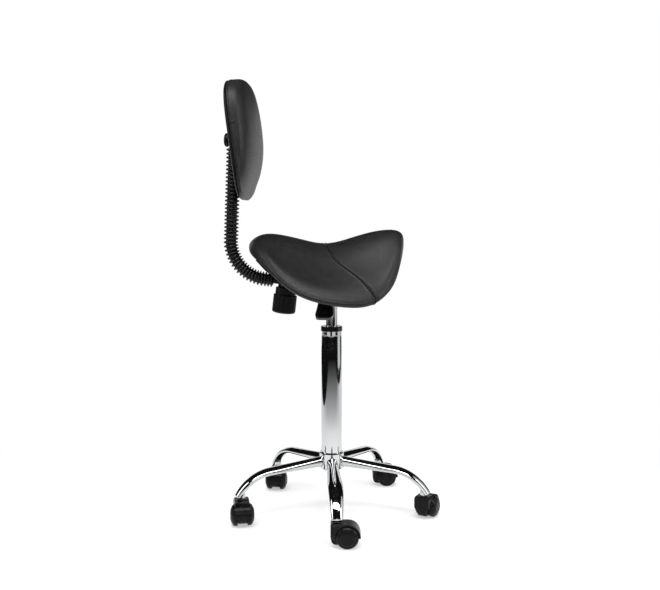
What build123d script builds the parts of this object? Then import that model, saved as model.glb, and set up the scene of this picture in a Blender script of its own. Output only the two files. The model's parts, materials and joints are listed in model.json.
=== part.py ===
"""Saddle-seat pedicure stool: five-leg chrome base on twin-wheel casters, gas lift,
saddle seat on a lever mechanism, and a small back pad on a bent bar in a corrugated boot.

Frame: +X is the way the sitter faces, +Y the sitter's left, +Z up. The origin lies on the
column's axis, on the floor. Millimetres and degrees.
"""
import os
from math import cos, radians, sin, tan

from build123d import *

# ---- clearances -------------------------------------------------------------------------
FIT = 0.02            # pieces pressed, welded or screwed together
RUN = 0.06            # radial clearance of a shaft or piston that turns or slides
FREE = 0.3            # pieces that only pass each other, and foam against its board

# ---- five-leg base ----------------------------------------------------------------------
LEG_COUNT = 5
FIRST_LEG_ANGLE = -84.0
HUB_RADIUS = 30.0
HUB_BOTTOM = 106.0
HUB_TOP = 146.0
HUB_CHAMFER = 2.0
LEG_WALL = 1.5
LEG_START_HEIGHT = 122.8      # centre of the leg's section at the hub's wall
LEG_SLOPE = 4.5               # fall of the straight run
LEG_STRAIGHT_END = 152.0      # distance from the axis where the bend starts
LEG_BEND_RADIUS = 103.0
LEG_END_SLOPE = 58.0
LEG_TIP_RUN = 4.5
LEG_TIP_CAP = 4.0
LEG_WIDTH_HUB = 27.0
LEG_WIDTH_BEND = 34.5
LEG_WIDTH_TIP = 26.0
LEG_DEPTH_HUB = 25.0
LEG_DEPTH_BEND = 17.5
LEG_DEPTH_TIP = 16.0
LEG_OVAL_POINTS = 10

# ---- caster sockets and stems ---------------------------------------------------------------
STEM_CIRCLE = 226.0           # radius of the circle on which the casters swivel
SOCKET_RADIUS = 9.5
SOCKET_BORE = 6.0
SOCKET_BOTTOM = 58.5
SOCKET_TOP = 66.5
SOCKET_LID = 1.5
STEM_RADIUS = 5.5
STEM_BOTTOM = 28.0
STEM_COLLAR_RADIUS = 8.0
STEM_COLLAR_THICKNESS = 1.5
GRIP_RING_HEIGHT = 2.0
GRIP_RING_WIRE = 1.3

# ---- twin-wheel casters ------------------------------------------------------------------
WHEEL_RADIUS = 25.0
WHEEL_INNER_FACE = 11.5       # distance from the caster's mid-plane
WHEEL_SHOULDER = 19.5         # outer end of the tread
WHEEL_DOME = 28.0             # crown of the domed outer face
WHEEL_WALL = 3.0
WHEEL_HUB_RADIUS = 7.5
AXLE_RADIUS = 3.0
AXLE_HALF_LENGTH = 23.0
CASTER_TRAIL = 22.4
HOOD_WEB_HALF = 11.0
HOOD_HALF_WIDTH = 18.5
HOOD_GAP = 1.2                # between tread and hood
HOOD_WALL = 3.0
HOOD_FRONT = 14.0             # from the swivel axis to the front face
HOOD_TOP = 55.0
HOOD_FLOOR = 16.0
CASTER_HEADINGS = (2.0, 63.0, 5.0, -94.0, -77.0)   # way each caster trails, from +X

# ---- column and gas lift -------------------------------------------------------------------
COLUMN_RADIUS = 25.0
COLUMN_WALL = 1.6
COLUMN_BOTTOM = 103.0
COLUMN_TOP = 447.0
COLUMN_TAPER = 0.8            # radius lost over the part held in the hub
CAP_RADIUS = 26.0
CAP_SKIRT = 6.0
CAP_THICKNESS = 5.5
BUSH_LENGTH = 117.0
FLOOR_THICKNESS = 4.0
BALL_RADIUS = 2.0
BALL_COUNT = 8
BALL_CIRCLE = 9.0
WASHER_THICKNESS = 2.0
WASHER_RADIUS = 12.5
BUMP_HEIGHT = 19.0
BUMP_RADIUS = 14.0
CYLINDER_RADIUS = 14.0
CYLINDER_WALL = 2.5
CYLINDER_BOTTOM = 140.0
CYLINDER_TAPER_START = 512.0
CYLINDER_TOP = 546.0
CYLINDER_TAPER = 1.0
CYLINDER_HEAD = 15.0
ROD_RADIUS = 5.0
ROD_NECK_RADIUS = 4.0
ROD_BOTTOM = 97.5
PISTON_BOTTOM = 378.0
PISTON_HEIGHT = 13.0
SEAL_HEIGHT = 24.0
SEAL_INSET = 2.0
CLIP_THICKNESS = 1.6
CLIP_RADIUS = 8.5
BUTTON_RADIUS = 3.0
BUTTON_LENGTH = 14.0
BUTTON_RISE = 6.0             # how far the release button stands above the cylinder

# ---- seat mechanism ----------------------------------------------------------------------
SHEET = 2.5                   # sheet thickness of the pan and the bar bracket
PAN_TOP = 568.5
PAN_DEPTH = 32.5
PAN_FRONT = 62.0
PAN_REAR = -78.0
PAN_HALF_WIDTH = 42.0
PAN_FLANGE = 16.0
PAN_CORNER = 10.0
TAPER_SOCKET_WALL = 4.0
TAPER_SOCKET_BOTTOM = 515.0
BOLT_X = (-66.0, 42.0)
BOLT_Y = 50.0
BOLT_RADIUS = 3.0
BOLT_HEAD_RADIUS = 5.5
BOLT_HEAD_HEIGHT = 4.0
TEE_NUT_BARREL = 4.2
TEE_NUT_FLANGE = 9.0
TEE_NUT_FLANGE_THICKNESS = 1.2
LEVER_ANGLE = -93.6           # way the lever points, from +X
LEVER_RADIUS = 3.5
LEVER_PIVOT_REACH = 26.0
LEVER_INNER_REACH = 4.0       # past the column's axis
LEVER_BEND_REACH = 74.0
LEVER_DROOP = 41.0
LEVER_ROD_DROOP_LENGTH = 70.0
LEVER_BEND_RADIUS = 16.0
PIVOT_BOSS_RADIUS = 6.5
PIVOT_PIN_RADIUS = 2.5
PIVOT_EAR_GAP = 9.0           # lever's middle to the inside of each ear
PADDLE_INNER_REACH = 96.0
PADDLE_LENGTH = 76.0
PADDLE_ROOT_WIDTH = 18.0
PADDLE_TIP_WIDTH = 41.0
PADDLE_THICKNESS = 9.0

# ---- back bar, its clamp and its boot -----------------------------------------------------
BAR_WIDTH = 20.0
BAR_THICKNESS = 8.0
BAR_CORNER_X = -243.5         # where the two straight runs would meet
BAR_CORNER_Z = 573.4
BAR_LOWER_SLOPE = 6.5         # the lower run rises to the rear
BAR_UPPER_LEAN = 2.4          # the upper run leans forward
BAR_BEND_RADIUS = 90.0
BAR_INNER_X = -25.0
BAR_UPPER_LENGTH = 362.0      # from the corner to the bar's top
BRACKET_MOUTH_X = -137.0
STOP_PIN_X = -31.0
STOP_PIN_RADIUS = 3.0
STOP_PIN_LENGTH = 17.0
CLAMP_X = -107.0
CLAMP_SCREW_RADIUS = 5.0
CLAMP_BOSS_RADIUS = 9.0
CLAMP_BOSS_HEIGHT = 7.0
CLAMP_KNOB_GAP = 0.8          # between the bracket's boss and the knob
KNOB_RADIUS = 28.0
KNOB_SHOULDER_RADIUS = 24.5
KNOB_SHOULDER_HEIGHT = 17.0
KNOB_GRIP_HEIGHT = 44.0
KNOB_FLUTES = 20
KNOB_FLUTE_RADIUS = 3.0
KNOB_FLUTE_DEPTH = 1.1
BOOT_RIDGE = 17.5
BOOT_VALLEY = 12.2
BOOT_BORE = 11.1
BOOT_PITCH = 9.3
BOOT_START_X = -138.5
BOOT_TOP = 300.0              # from the corner, along the upper run

# ---- saddle seat: x, half width, crown height, lower edge height, board height --------------
SEAT_STATIONS = (
    (-195.0, 14.0, 648.0, 637.0, 638.0),
    (-189.0, 46.0, 655.0, 631.0, 634.0),
    (-172.0, 88.0, 667.5, 619.0, 620.0),
    (-147.0, 122.0, 672.0, 602.0, 600.0),
    (-110.0, 158.0, 667.5, 571.5, 577.5),
    (-68.0, 180.0, 658.0, 543.5, 577.5),
    (-16.0, 184.0, 649.5, 525.0, 577.5),
    (48.0, 170.0, 663.5, 514.4, 577.5),
    (95.0, 148.0, 676.5, 518.0, 577.5),
    (130.0, 118.0, 681.0, 540.0, 597.0),
    (150.0, 88.0, 679.0, 569.0, 612.0),
    (162.0, 54.0, 672.0, 608.0, 632.0),
    (169.0, 16.0, 660.0, 640.0, 645.0),
)
SEAT_ROLL = 14.0              # half the thickness of the rolled edge
SEAT_RIM = 26.0               # from the board's edge to the seat's edge
BOARD_THICKNESS = 9.0
BOARD_FLAT = 62.0             # half width of the board's flat middle
BOARD_FLAT_SHARE = 0.42

# ---- back pad -----------------------------------------------------------------------------
PAD_X = -220.4
PAD_Z = 888.0
PAD_RECLINE = 7.5
PAD_HALF_HEIGHT = 139.0
PAD_HALF_WIDTH = 150.0
PAD_SQUARENESS = 3.4          # exponent of the outline
PAD_THICKNESS = 44.0
PAD_COVER_THICKNESS = 7.5
PAD_COVER_INSET = 3.0
PAD_BOARD_THICKNESS = 10.0
PAD_BOARD_INSET = 8.0
PAD_STATIONS = ((0.0, 1.0), (0.40, 0.98), (0.67, 0.94), (0.83, 0.86), (0.93, 0.70), (0.985, 0.40))
PAD_WINDOW_HALF_WIDTH = 34.0
PAD_WINDOW_BOTTOM = -52.0
PAD_WINDOW_TOP = 62.0
SLEEVE_START = 303.0          # from the corner, along the upper run
SLEEVE_LENGTH = 62.0
PAD_SCREW_AT = 318.0
PAD_SCREW_RADIUS = 3.0
PAD_BOSS_RADIUS = 6.5
PAD_BOSS_HEIGHT = 4.0
PAD_KNOB_RADIUS = 16.0
PAD_KNOB_HEIGHT = 11.0
PAD_KNOB_GAP = 0.7            # between the sleeve's boss and the knob
PAD_PLATE_HALF_WIDTH = 30.0
PAD_PLATE_THICKNESS = 3.0
PAD_PLATE_HEIGHT = 80.0
PAD_BOLT_Y = 22.0
PAD_BOLT_Z = (-14.0, 50.0)

# ---- values that follow -----------------------------------------------------------------
BUSH_RADIUS = COLUMN_RADIUS - COLUMN_WALL - FIT
CYLINDER_BORE = CYLINDER_RADIUS - CYLINDER_WALL
FLOOR_BOTTOM = COLUMN_BOTTOM + 0.5
FLOOR_TOP = FLOOR_BOTTOM + FLOOR_THICKNESS
WASHER_BOTTOM = FLOOR_TOP + 2 * BALL_RADIUS + 2 * FIT
WASHER_TOP = WASHER_BOTTOM + WASHER_THICKNESS
PAN_FLOOR = PAN_TOP - PAN_DEPTH
BUTTON_TOP = CYLINDER_TOP + BUTTON_RISE
LEVER_HEIGHT = BUTTON_TOP + FREE + LEVER_RADIUS
CHANNEL_WIDTH = BAR_WIDTH + 2 * FREE
CHANNEL_HEIGHT = BAR_THICKNESS + 2 * FREE
BOARD_BOTTOM = PAN_TOP + FIT
CLAMP_KNOB_TOP = CHANNEL_HEIGHT / 2 + SHEET + CLAMP_BOSS_HEIGHT + CLAMP_KNOB_GAP
CLAMP_SCREW_TIP = BAR_THICKNESS / 2 + FREE / 2
CLAMP_SCREW_END = CLAMP_KNOB_TOP + KNOB_SHOULDER_HEIGHT + 6
PAD_KNOB_FRONT = CHANNEL_HEIGHT / 2 + SHEET + PAD_BOSS_HEIGHT + PAD_KNOB_GAP
WHEEL_POCKET = WHEEL_RADIUS + HOOD_GAP
HOOD_RADIUS = WHEEL_POCKET + HOOD_WALL


def disc(radius, bottom, top, bore=0.0):
    """Upright round piece between two heights, with a bore if one is given."""
    body = Pos(0, 0, bottom) * Cylinder(radius, top - bottom, align=(Align.CENTER, Align.CENTER, Align.MIN))
    if bore > 0:
        body -= Pos(0, 0, bottom) * Cylinder(bore, top - bottom, align=(Align.CENTER, Align.CENTER, Align.MIN))
    return body


def turned(points):
    """Solid turned about the Z axis from a closed outline of (radius, height) points."""
    outline = Polyline([(radius, 0, height) for radius, height in points], close=True)
    return revolve(make_face(outline), Axis.Z)


def group(pieces):
    return Compound(children=list(pieces))


def at_leg(index, shape, heading=None):
    """Place a shape made about the origin at the swivel axis of one leg."""
    angle = FIRST_LEG_ANGLE + index * 360 / LEG_COUNT
    turn = angle if heading is None else heading
    x, y = STEM_CIRCLE * cos(radians(angle)), STEM_CIRCLE * sin(radians(angle))
    return Pos(x, y, 0) * Rot(0, 0, turn) * shape


# ---- base -------------------------------------------------------------------------------
def column_outer(height):
    """Outside radius of the column at a height: it narrows where the hub holds it."""
    share = min(max((HUB_TOP - height) / (HUB_TOP - COLUMN_BOTTOM), 0), 1)
    return COLUMN_RADIUS - COLUMN_TAPER * share


def make_hub():
    return turned([
        (column_outer(HUB_BOTTOM) + FIT, HUB_BOTTOM),
        (HUB_RADIUS - HUB_CHAMFER, HUB_BOTTOM),
        (HUB_RADIUS, HUB_BOTTOM + HUB_CHAMFER),
        (HUB_RADIUS, HUB_TOP - HUB_CHAMFER),
        (HUB_RADIUS - HUB_CHAMFER, HUB_TOP),
        (column_outer(HUB_TOP) + FIT, HUB_TOP),
    ])


def leg_stations():
    """Centre line of a leg as (distance, height, fall, width, depth) from hub to tip."""
    slope = radians(LEG_SLOPE)
    run = LEG_STRAIGHT_END - HUB_RADIUS
    bend_z = LEG_START_HEIGHT - run * tan(slope)
    stations = []
    for share in (-0.06, 0.35, 0.7, 1.0):
        reach = HUB_RADIUS + run * share
        grow = max(share, 0)
        stations.append((reach, LEG_START_HEIGHT - run * share * tan(slope), LEG_SLOPE,
                         LEG_WIDTH_HUB + (LEG_WIDTH_BEND - LEG_WIDTH_HUB) * grow,
                         LEG_DEPTH_HUB + (LEG_DEPTH_BEND - LEG_DEPTH_HUB) * grow ** 0.8))
    for share in (0.33, 0.66, 1.0):
        fall = LEG_SLOPE + (LEG_END_SLOPE - LEG_SLOPE) * share
        reach = LEG_STRAIGHT_END + LEG_BEND_RADIUS * (sin(radians(fall)) - sin(slope))
        height = bend_z - LEG_BEND_RADIUS * (cos(slope) - cos(radians(fall)))
        stations.append((reach, height, fall,
                         LEG_WIDTH_BEND + (LEG_WIDTH_TIP - LEG_WIDTH_BEND) * share ** 2,
                         LEG_DEPTH_BEND + (LEG_DEPTH_TIP - LEG_DEPTH_BEND) * share))
    return stations


def leg_section(reach, height, fall, width, depth):
    """Oval across the leg's centre line, as one smooth closed edge."""
    tilt = radians(fall)
    points = []
    for i in range(LEG_OVAL_POINTS):
        turn = radians(i * 360 / LEG_OVAL_POINTS)
        across, rise = width / 2 * cos(turn), depth / 2 * sin(turn)
        points.append(Vector(reach + rise * sin(tilt), across, height + rise * cos(tilt)))
    steps = [i / LEG_OVAL_POINTS for i in range(LEG_OVAL_POINTS + 1)]
    return Wire([Edge.make_spline(points, periodic=True, parameters=steps)])


def leg_body(wall):
    """Bent tapering oval tube's outside (wall 0) or its hollow (wall above 0)."""
    stations = leg_stations()
    reach, height, fall, width, depth = stations[-1]
    along, down = cos(radians(fall)), -sin(radians(fall))
    tip = [stations[-1]]
    for run, share in ((0, 1.0), (0.6 * LEG_TIP_CAP, 0.93), (LEG_TIP_CAP, 0.70)):
        step = LEG_TIP_RUN + run - wall
        tip.append((reach + along * step, height + down * step, fall, share * width, share * depth))
    smooth, ruled = [
        [leg_section(r, z, f, w - 2 * wall, d - 2 * wall) for r, z, f, w, d in run]
        for run in (stations, tip)]
    return Solid.make_loft(smooth) + Solid.make_loft(ruled, ruled=True)


def make_leg():
    leg = leg_body(0) - leg_body(LEG_WALL)
    leg -= disc(HUB_RADIUS + FIT, HUB_BOTTOM - 20, HUB_TOP + 20)
    seat = disc(SOCKET_RADIUS + FIT, SOCKET_BOTTOM - 10, SOCKET_TOP + FIT)
    return leg - Pos(STEM_CIRCLE, 0, 0) * seat


def make_legs():
    leg = make_leg()
    step = 360 / LEG_COUNT
    return group(Rot(0, 0, FIRST_LEG_ANGLE + i * step) * leg for i in range(LEG_COUNT))


def make_stem_sockets():
    socket = disc(SOCKET_RADIUS, SOCKET_BOTTOM, SOCKET_TOP)
    socket -= disc(SOCKET_BORE, SOCKET_BOTTOM, SOCKET_TOP - SOCKET_LID)
    return group(at_leg(i, socket) for i in range(LEG_COUNT))


def make_caster_stems():
    """Each stem has a collar under the socket and a sprung ring that grips the socket."""
    stem_top = SOCKET_TOP - SOCKET_LID - 0.5
    ring_bottom = (SOCKET_BOTTOM + stem_top) / 2
    ring_top = ring_bottom + GRIP_RING_HEIGHT
    groove = STEM_RADIUS - GRIP_RING_WIRE
    stem = disc(STEM_RADIUS, STEM_BOTTOM, stem_top)
    stem += disc(STEM_COLLAR_RADIUS, SOCKET_BOTTOM - STEM_COLLAR_THICKNESS, SOCKET_BOTTOM - FIT)
    stem -= disc(STEM_RADIUS + 1, ring_bottom, ring_top, groove)
    ring = disc(SOCKET_BORE - FIT, ring_bottom + FIT, ring_top - FIT, groove + FIT)
    pieces = [at_leg(i, stem) for i in range(LEG_COUNT)]
    pieces += [at_leg(i, ring) for i in range(LEG_COUNT)]
    return group(pieces)


# ---- casters ----------------------------------------------------------------------------
def make_hood():
    """Moulded hood: stem block in front, a web between the wheels and a shell over them."""
    axle_z = WHEEL_RADIUS
    outline = Polyline([
        (CASTER_TRAIL + HOOD_RADIUS, 0, axle_z - 2),
        (CASTER_TRAIL + 9, 0, HOOD_FLOOR),
        (-HOOD_FRONT + 9, 0, HOOD_FLOOR),
        (-HOOD_FRONT + 3, 0, HOOD_FLOOR + 3),
        (-HOOD_FRONT, 0, HOOD_FLOOR + 10),
        (-HOOD_FRONT, 0, HOOD_TOP - 3),
        (-HOOD_FRONT + 2, 0, HOOD_TOP),
        (9, 0, HOOD_TOP),
        (CASTER_TRAIL - 6, 0, axle_z + HOOD_RADIUS - 0.6),
    ])
    diagonal = HOOD_RADIUS * sin(radians(45))
    crown = ThreePointArc(outline @ 1, (CASTER_TRAIL + diagonal, 0, axle_z + diagonal), outline @ 0)
    face = make_face(Wire(outline.edges() + [crown.edge()]))
    hood = extrude(face, amount=HOOD_HALF_WIDTH, dir=(0, 1, 0), both=True)
    hood &= extrude(
        make_face(Plane.YZ * Polyline([
            (-HOOD_WEB_HALF, HOOD_FLOOR - 6), (HOOD_WEB_HALF, HOOD_FLOOR - 6),
            (HOOD_WEB_HALF + 1, HOOD_FLOOR), (HOOD_HALF_WIDTH, HOOD_FLOOR + 12),
            (HOOD_HALF_WIDTH, axle_z + HOOD_RADIUS - 5), (HOOD_HALF_WIDTH - 3, axle_z + HOOD_RADIUS + 1),
            (-HOOD_HALF_WIDTH + 3, axle_z + HOOD_RADIUS + 1), (-HOOD_HALF_WIDTH, axle_z + HOOD_RADIUS - 5),
            (-HOOD_HALF_WIDTH, HOOD_FLOOR + 12), (-HOOD_WEB_HALF - 1, HOOD_FLOOR),
        ], close=True)), amount=100, both=True)
    pocket_depth = HOOD_HALF_WIDTH - HOOD_WEB_HALF + 1
    for side in (-1, 1):
        middle = side * (HOOD_WEB_HALF + pocket_depth / 2)
        pocket = Pos(CASTER_TRAIL, middle, axle_z) * Rot(90, 0, 0)
        hood -= pocket * Cylinder(WHEEL_POCKET, pocket_depth)
    hood -= disc(STEM_RADIUS + RUN, STEM_BOTTOM - 0.5, HOOD_TOP + 10)
    axle_hole = Cylinder(AXLE_RADIUS + FIT, 2 * HOOD_HALF_WIDTH)
    return hood - Pos(CASTER_TRAIL, 0, axle_z) * Rot(90, 0, 0) * axle_hole


def make_axle():
    return Pos(CASTER_TRAIL, 0, WHEEL_RADIUS) * Rot(90, 0, 0) * Cylinder(AXLE_RADIUS, 2 * AXLE_HALF_LENGTH)


def make_wheel(side):
    """Moulded wheel with a dished back and a domed face that carries two raised rings."""
    inner, shoulder, crown = WHEEL_INNER_FACE, WHEEL_SHOULDER, WHEEL_DOME
    dome = crown - shoulder
    outline = [
        (AXLE_RADIUS + RUN, inner), (WHEEL_HUB_RADIUS, inner), (WHEEL_HUB_RADIUS, shoulder - 1),
        (WHEEL_RADIUS - WHEEL_WALL, shoulder - 1), (WHEEL_RADIUS - WHEEL_WALL, inner),
        (WHEEL_RADIUS - 0.8, inner), (WHEEL_RADIUS, inner + 1), (WHEEL_RADIUS, shoulder - 1.5),
        (WHEEL_RADIUS - 1.2, shoulder + 0.14 * dome), (0.82 * WHEEL_RADIUS, shoulder + 0.50 * dome),
        (0.80 * WHEEL_RADIUS, shoulder + 0.40 * dome), (0.64 * WHEEL_RADIUS, shoulder + 0.76 * dome),
        (0.46 * WHEEL_RADIUS, shoulder + 0.93 * dome), (0.44 * WHEEL_RADIUS, shoulder + 0.84 * dome),
        (0, crown - 0.06 * dome), (0, AXLE_HALF_LENGTH + FREE),
        (AXLE_RADIUS + RUN, AXLE_HALF_LENGTH + FREE),
    ]
    return Pos(CASTER_TRAIL, 0, WHEEL_RADIUS) * Rot(-90 * side, 0, 0) * turned(outline)


# ---- column and gas lift -------------------------------------------------------------------
def make_column_tube():
    wall = COLUMN_WALL
    return turned([
        (column_outer(COLUMN_BOTTOM) - wall, COLUMN_BOTTOM), (column_outer(COLUMN_BOTTOM), COLUMN_BOTTOM),
        (COLUMN_RADIUS, HUB_TOP), (COLUMN_RADIUS, COLUMN_TOP),
        (COLUMN_RADIUS - wall, COLUMN_TOP), (COLUMN_RADIUS - wall, HUB_TOP),
    ])


def make_column_cap():
    """Black ring that drops over the column's rim and wipes the cylinder."""
    cylinder_hole = CYLINDER_RADIUS + FREE
    return turned([
        (COLUMN_RADIUS + FIT, COLUMN_TOP - CAP_SKIRT), (CAP_RADIUS, COLUMN_TOP - CAP_SKIRT),
        (CAP_RADIUS, COLUMN_TOP + CAP_THICKNESS - 2), (CAP_RADIUS - 2, COLUMN_TOP + CAP_THICKNESS),
        (cylinder_hole + 1, COLUMN_TOP + CAP_THICKNESS), (cylinder_hole, COLUMN_TOP + CAP_THICKNESS - 1),
        (cylinder_hole, COLUMN_TOP + FIT), (COLUMN_RADIUS + FIT, COLUMN_TOP + FIT),
    ])


def make_guide_bush():
    return disc(BUSH_RADIUS, COLUMN_TOP - BUSH_LENGTH, COLUMN_TOP - FIT, CYLINDER_RADIUS + RUN)


def make_column_floor():
    """Plate that closes the column's foot; its middle is the lower race of the swivel bearing."""
    radius = column_outer(FLOOR_BOTTOM) - COLUMN_WALL - FIT
    return disc(radius, FLOOR_BOTTOM, FLOOR_TOP, ROD_NECK_RADIUS + RUN)


def make_bearing_balls():
    ball = Pos(BALL_CIRCLE, 0, FLOOR_TOP + BALL_RADIUS + FIT) * Sphere(BALL_RADIUS)
    return group(Rot(0, 0, i * 360 / BALL_COUNT) * ball for i in range(BALL_COUNT))


def make_bearing_washer():
    return disc(WASHER_RADIUS, WASHER_BOTTOM, WASHER_TOP, ROD_NECK_RADIUS + FIT)


def make_bump_rubber():
    bottom = WASHER_TOP + FIT
    return turned([
        (ROD_RADIUS + FREE, bottom), (BUMP_RADIUS, bottom), (BUMP_RADIUS, bottom + 0.6 * BUMP_HEIGHT),
        (0.75 * BUMP_RADIUS, bottom + BUMP_HEIGHT), (ROD_RADIUS + FREE, bottom + BUMP_HEIGHT),
    ])


def make_piston_rod():
    neck = ROD_NECK_RADIUS
    clip_top = FLOOR_BOTTOM - FREE
    clip_bottom = clip_top - CLIP_THICKNESS
    piston_top = PISTON_BOTTOM + PISTON_HEIGHT
    return turned([
        (0, ROD_BOTTOM), (neck, ROD_BOTTOM), (neck, clip_bottom), (neck - 0.7, clip_bottom),
        (neck - 0.7, clip_top), (neck, clip_top), (neck, WASHER_TOP + FIT), (ROD_RADIUS, WASHER_TOP + FIT),
        (ROD_RADIUS, PISTON_BOTTOM), (neck, PISTON_BOTTOM), (neck, piston_top + 1), (0, piston_top + 1),
    ])


def make_piston_head():
    bottom, top = PISTON_BOTTOM + FIT, PISTON_BOTTOM + PISTON_HEIGHT
    outer, seal = CYLINDER_BORE - RUN, CYLINDER_BORE - 1.2
    bore = ROD_NECK_RADIUS + FIT
    return turned([
        (bore, bottom), (outer, bottom), (outer, bottom + 4), (seal, bottom + 4.5),
        (seal, top - 4.5), (outer, top - 4), (outer, top), (bore, top),
    ])


def make_rod_clip():
    top = FLOOR_BOTTOM - FREE - FIT
    clip = disc(CLIP_RADIUS, top - CLIP_THICKNESS + 2 * FIT, top, ROD_NECK_RADIUS - 0.7 + FIT)
    opening = Box(CLIP_RADIUS + 2, 1.4 * ROD_NECK_RADIUS, 4 * CLIP_THICKNESS, align=(Align.MIN, Align.CENTER, Align.CENTER))
    return clip - Pos(0, 0, top) * opening


def make_gas_cylinder():
    narrow = CYLINDER_RADIUS - CYLINDER_TAPER
    head = CYLINDER_TOP - CYLINDER_HEAD
    valve_floor = head + 3
    valve = BUTTON_RADIUS + RUN
    return turned([
        (CYLINDER_BORE, CYLINDER_BOTTOM), (CYLINDER_RADIUS - 1, CYLINDER_BOTTOM),
        (CYLINDER_RADIUS, CYLINDER_BOTTOM + 1), (CYLINDER_RADIUS, CYLINDER_TAPER_START),
        (narrow, CYLINDER_TOP), (valve, CYLINDER_TOP), (valve, valve_floor),
        (0, valve_floor), (0, head), (CYLINDER_BORE, head),
    ])


def make_cylinder_seal():
    bottom = CYLINDER_BOTTOM + SEAL_INSET
    return disc(CYLINDER_BORE - FIT, bottom, bottom + SEAL_HEIGHT, ROD_RADIUS + RUN)


def make_valve_button():
    button = disc(BUTTON_RADIUS, BUTTON_TOP - BUTTON_LENGTH, BUTTON_TOP)
    return button.fillet(0.8, [button.edges().sort_by(Axis.Z)[-1]])


# ---- seat mechanism ----------------------------------------------------------------------
def bar_frame(x):
    """Place on the lower run of the bar: local X forward along it, local Z across it, up."""
    z = BAR_CORNER_Z - (x - BAR_CORNER_X) * tan(radians(BAR_LOWER_SLOPE))
    return Pos(x, 0, z) * Rot(0, BAR_LOWER_SLOPE, 0)


def upper_frame(distance):
    """Place on the upper run: local Z up along it, local X forward."""
    x = BAR_CORNER_X + distance * sin(radians(BAR_UPPER_LEAN))
    z = BAR_CORNER_Z + distance * cos(radians(BAR_UPPER_LEAN))
    return Pos(x, 0, z) * Rot(0, BAR_UPPER_LEAN, 0)


def lever_frame():
    """Local X points along the lever, out from the column's axis, at the lever's height."""
    return Pos(0, 0, LEVER_HEIGHT) * Rot(0, 0, LEVER_ANGLE)


def rounded_block(x0, x1, half_width, z0, z1, corner):
    block = Pos((x0 + x1) / 2, 0, z0) * Box(
        x1 - x0, 2 * half_width, z1 - z0, align=(Align.CENTER, Align.CENTER, Align.MIN))
    return fillet(block.edges().filter_by(Axis.Z), corner)


def taper_radius(height):
    share = (height - CYLINDER_TAPER_START) / (CYLINDER_TOP - CYLINDER_TAPER_START)
    return CYLINDER_RADIUS - CYLINDER_TAPER * share


def make_mech_plate():
    """Pressed pan with a flange for the seat's bolts and two ears for the lever's pivot."""
    pan = rounded_block(PAN_REAR, PAN_FRONT, PAN_HALF_WIDTH, PAN_FLOOR, PAN_TOP, PAN_CORNER)
    pan += rounded_block(PAN_REAR - 0.6 * PAN_FLANGE, PAN_FRONT + 0.6 * PAN_FLANGE,
                         PAN_HALF_WIDTH + PAN_FLANGE, PAN_TOP - SHEET, PAN_TOP, PAN_CORNER)
    pan -= rounded_block(PAN_REAR + SHEET, PAN_FRONT - SHEET, PAN_HALF_WIDTH - SHEET,
                         PAN_FLOOR + SHEET, PAN_TOP + 1, PAN_CORNER - SHEET)
    ear_reach = PIVOT_BOSS_RADIUS
    ear_height = LEVER_HEIGHT + ear_reach - PAN_FLOOR - SHEET / 2
    for side in (-1, 1):
        ear = Pos(LEVER_PIVOT_REACH, side * (PIVOT_EAR_GAP + SHEET / 2), ear_reach - ear_height / 2) * Box(
            2 * ear_reach, SHEET, ear_height)
        pan += lever_frame() * ear
    pin_hole = Rot(90, 0, 0) * Cylinder(PIVOT_PIN_RADIUS + FIT, 4 * PIVOT_EAR_GAP)
    pan -= lever_frame() * Pos(LEVER_PIVOT_REACH, 0, 0) * pin_hole
    pan -= disc(taper_radius(PAN_FLOOR) + TAPER_SOCKET_WALL + FIT, PAN_FLOOR - 1, PAN_FLOOR + SHEET + 1)
    slot_reach = PAN_HALF_WIDTH + 6
    slot = Box(16, 2 * LEVER_RADIUS + 3, 30, align=(Align.CENTER, Align.CENTER, Align.CENTER))
    pan -= lever_frame() * Pos(slot_reach - 6, 0, 4) * slot
    pan -= bar_frame(PAN_REAR) * Box(6 * SHEET, CHANNEL_WIDTH, CHANNEL_HEIGHT)
    for x in BOLT_X:
        for side in (-1, 1):
            pan -= Pos(x, side * BOLT_Y, 0) * disc(BOLT_RADIUS + FREE, PAN_TOP - 10, PAN_TOP + 10)
    return pan


def make_taper_socket():
    wall = TAPER_SOCKET_WALL
    top = CYLINDER_TOP - 2
    return turned([
        (taper_radius(TAPER_SOCKET_BOTTOM) + FIT, TAPER_SOCKET_BOTTOM),
        (taper_radius(TAPER_SOCKET_BOTTOM) + wall - 1, TAPER_SOCKET_BOTTOM),
        (taper_radius(PAN_FLOOR) + wall, TAPER_SOCKET_BOTTOM + 1), (taper_radius(PAN_FLOOR) + wall, top),
        (taper_radius(top) + FIT, top),
    ])


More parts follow.
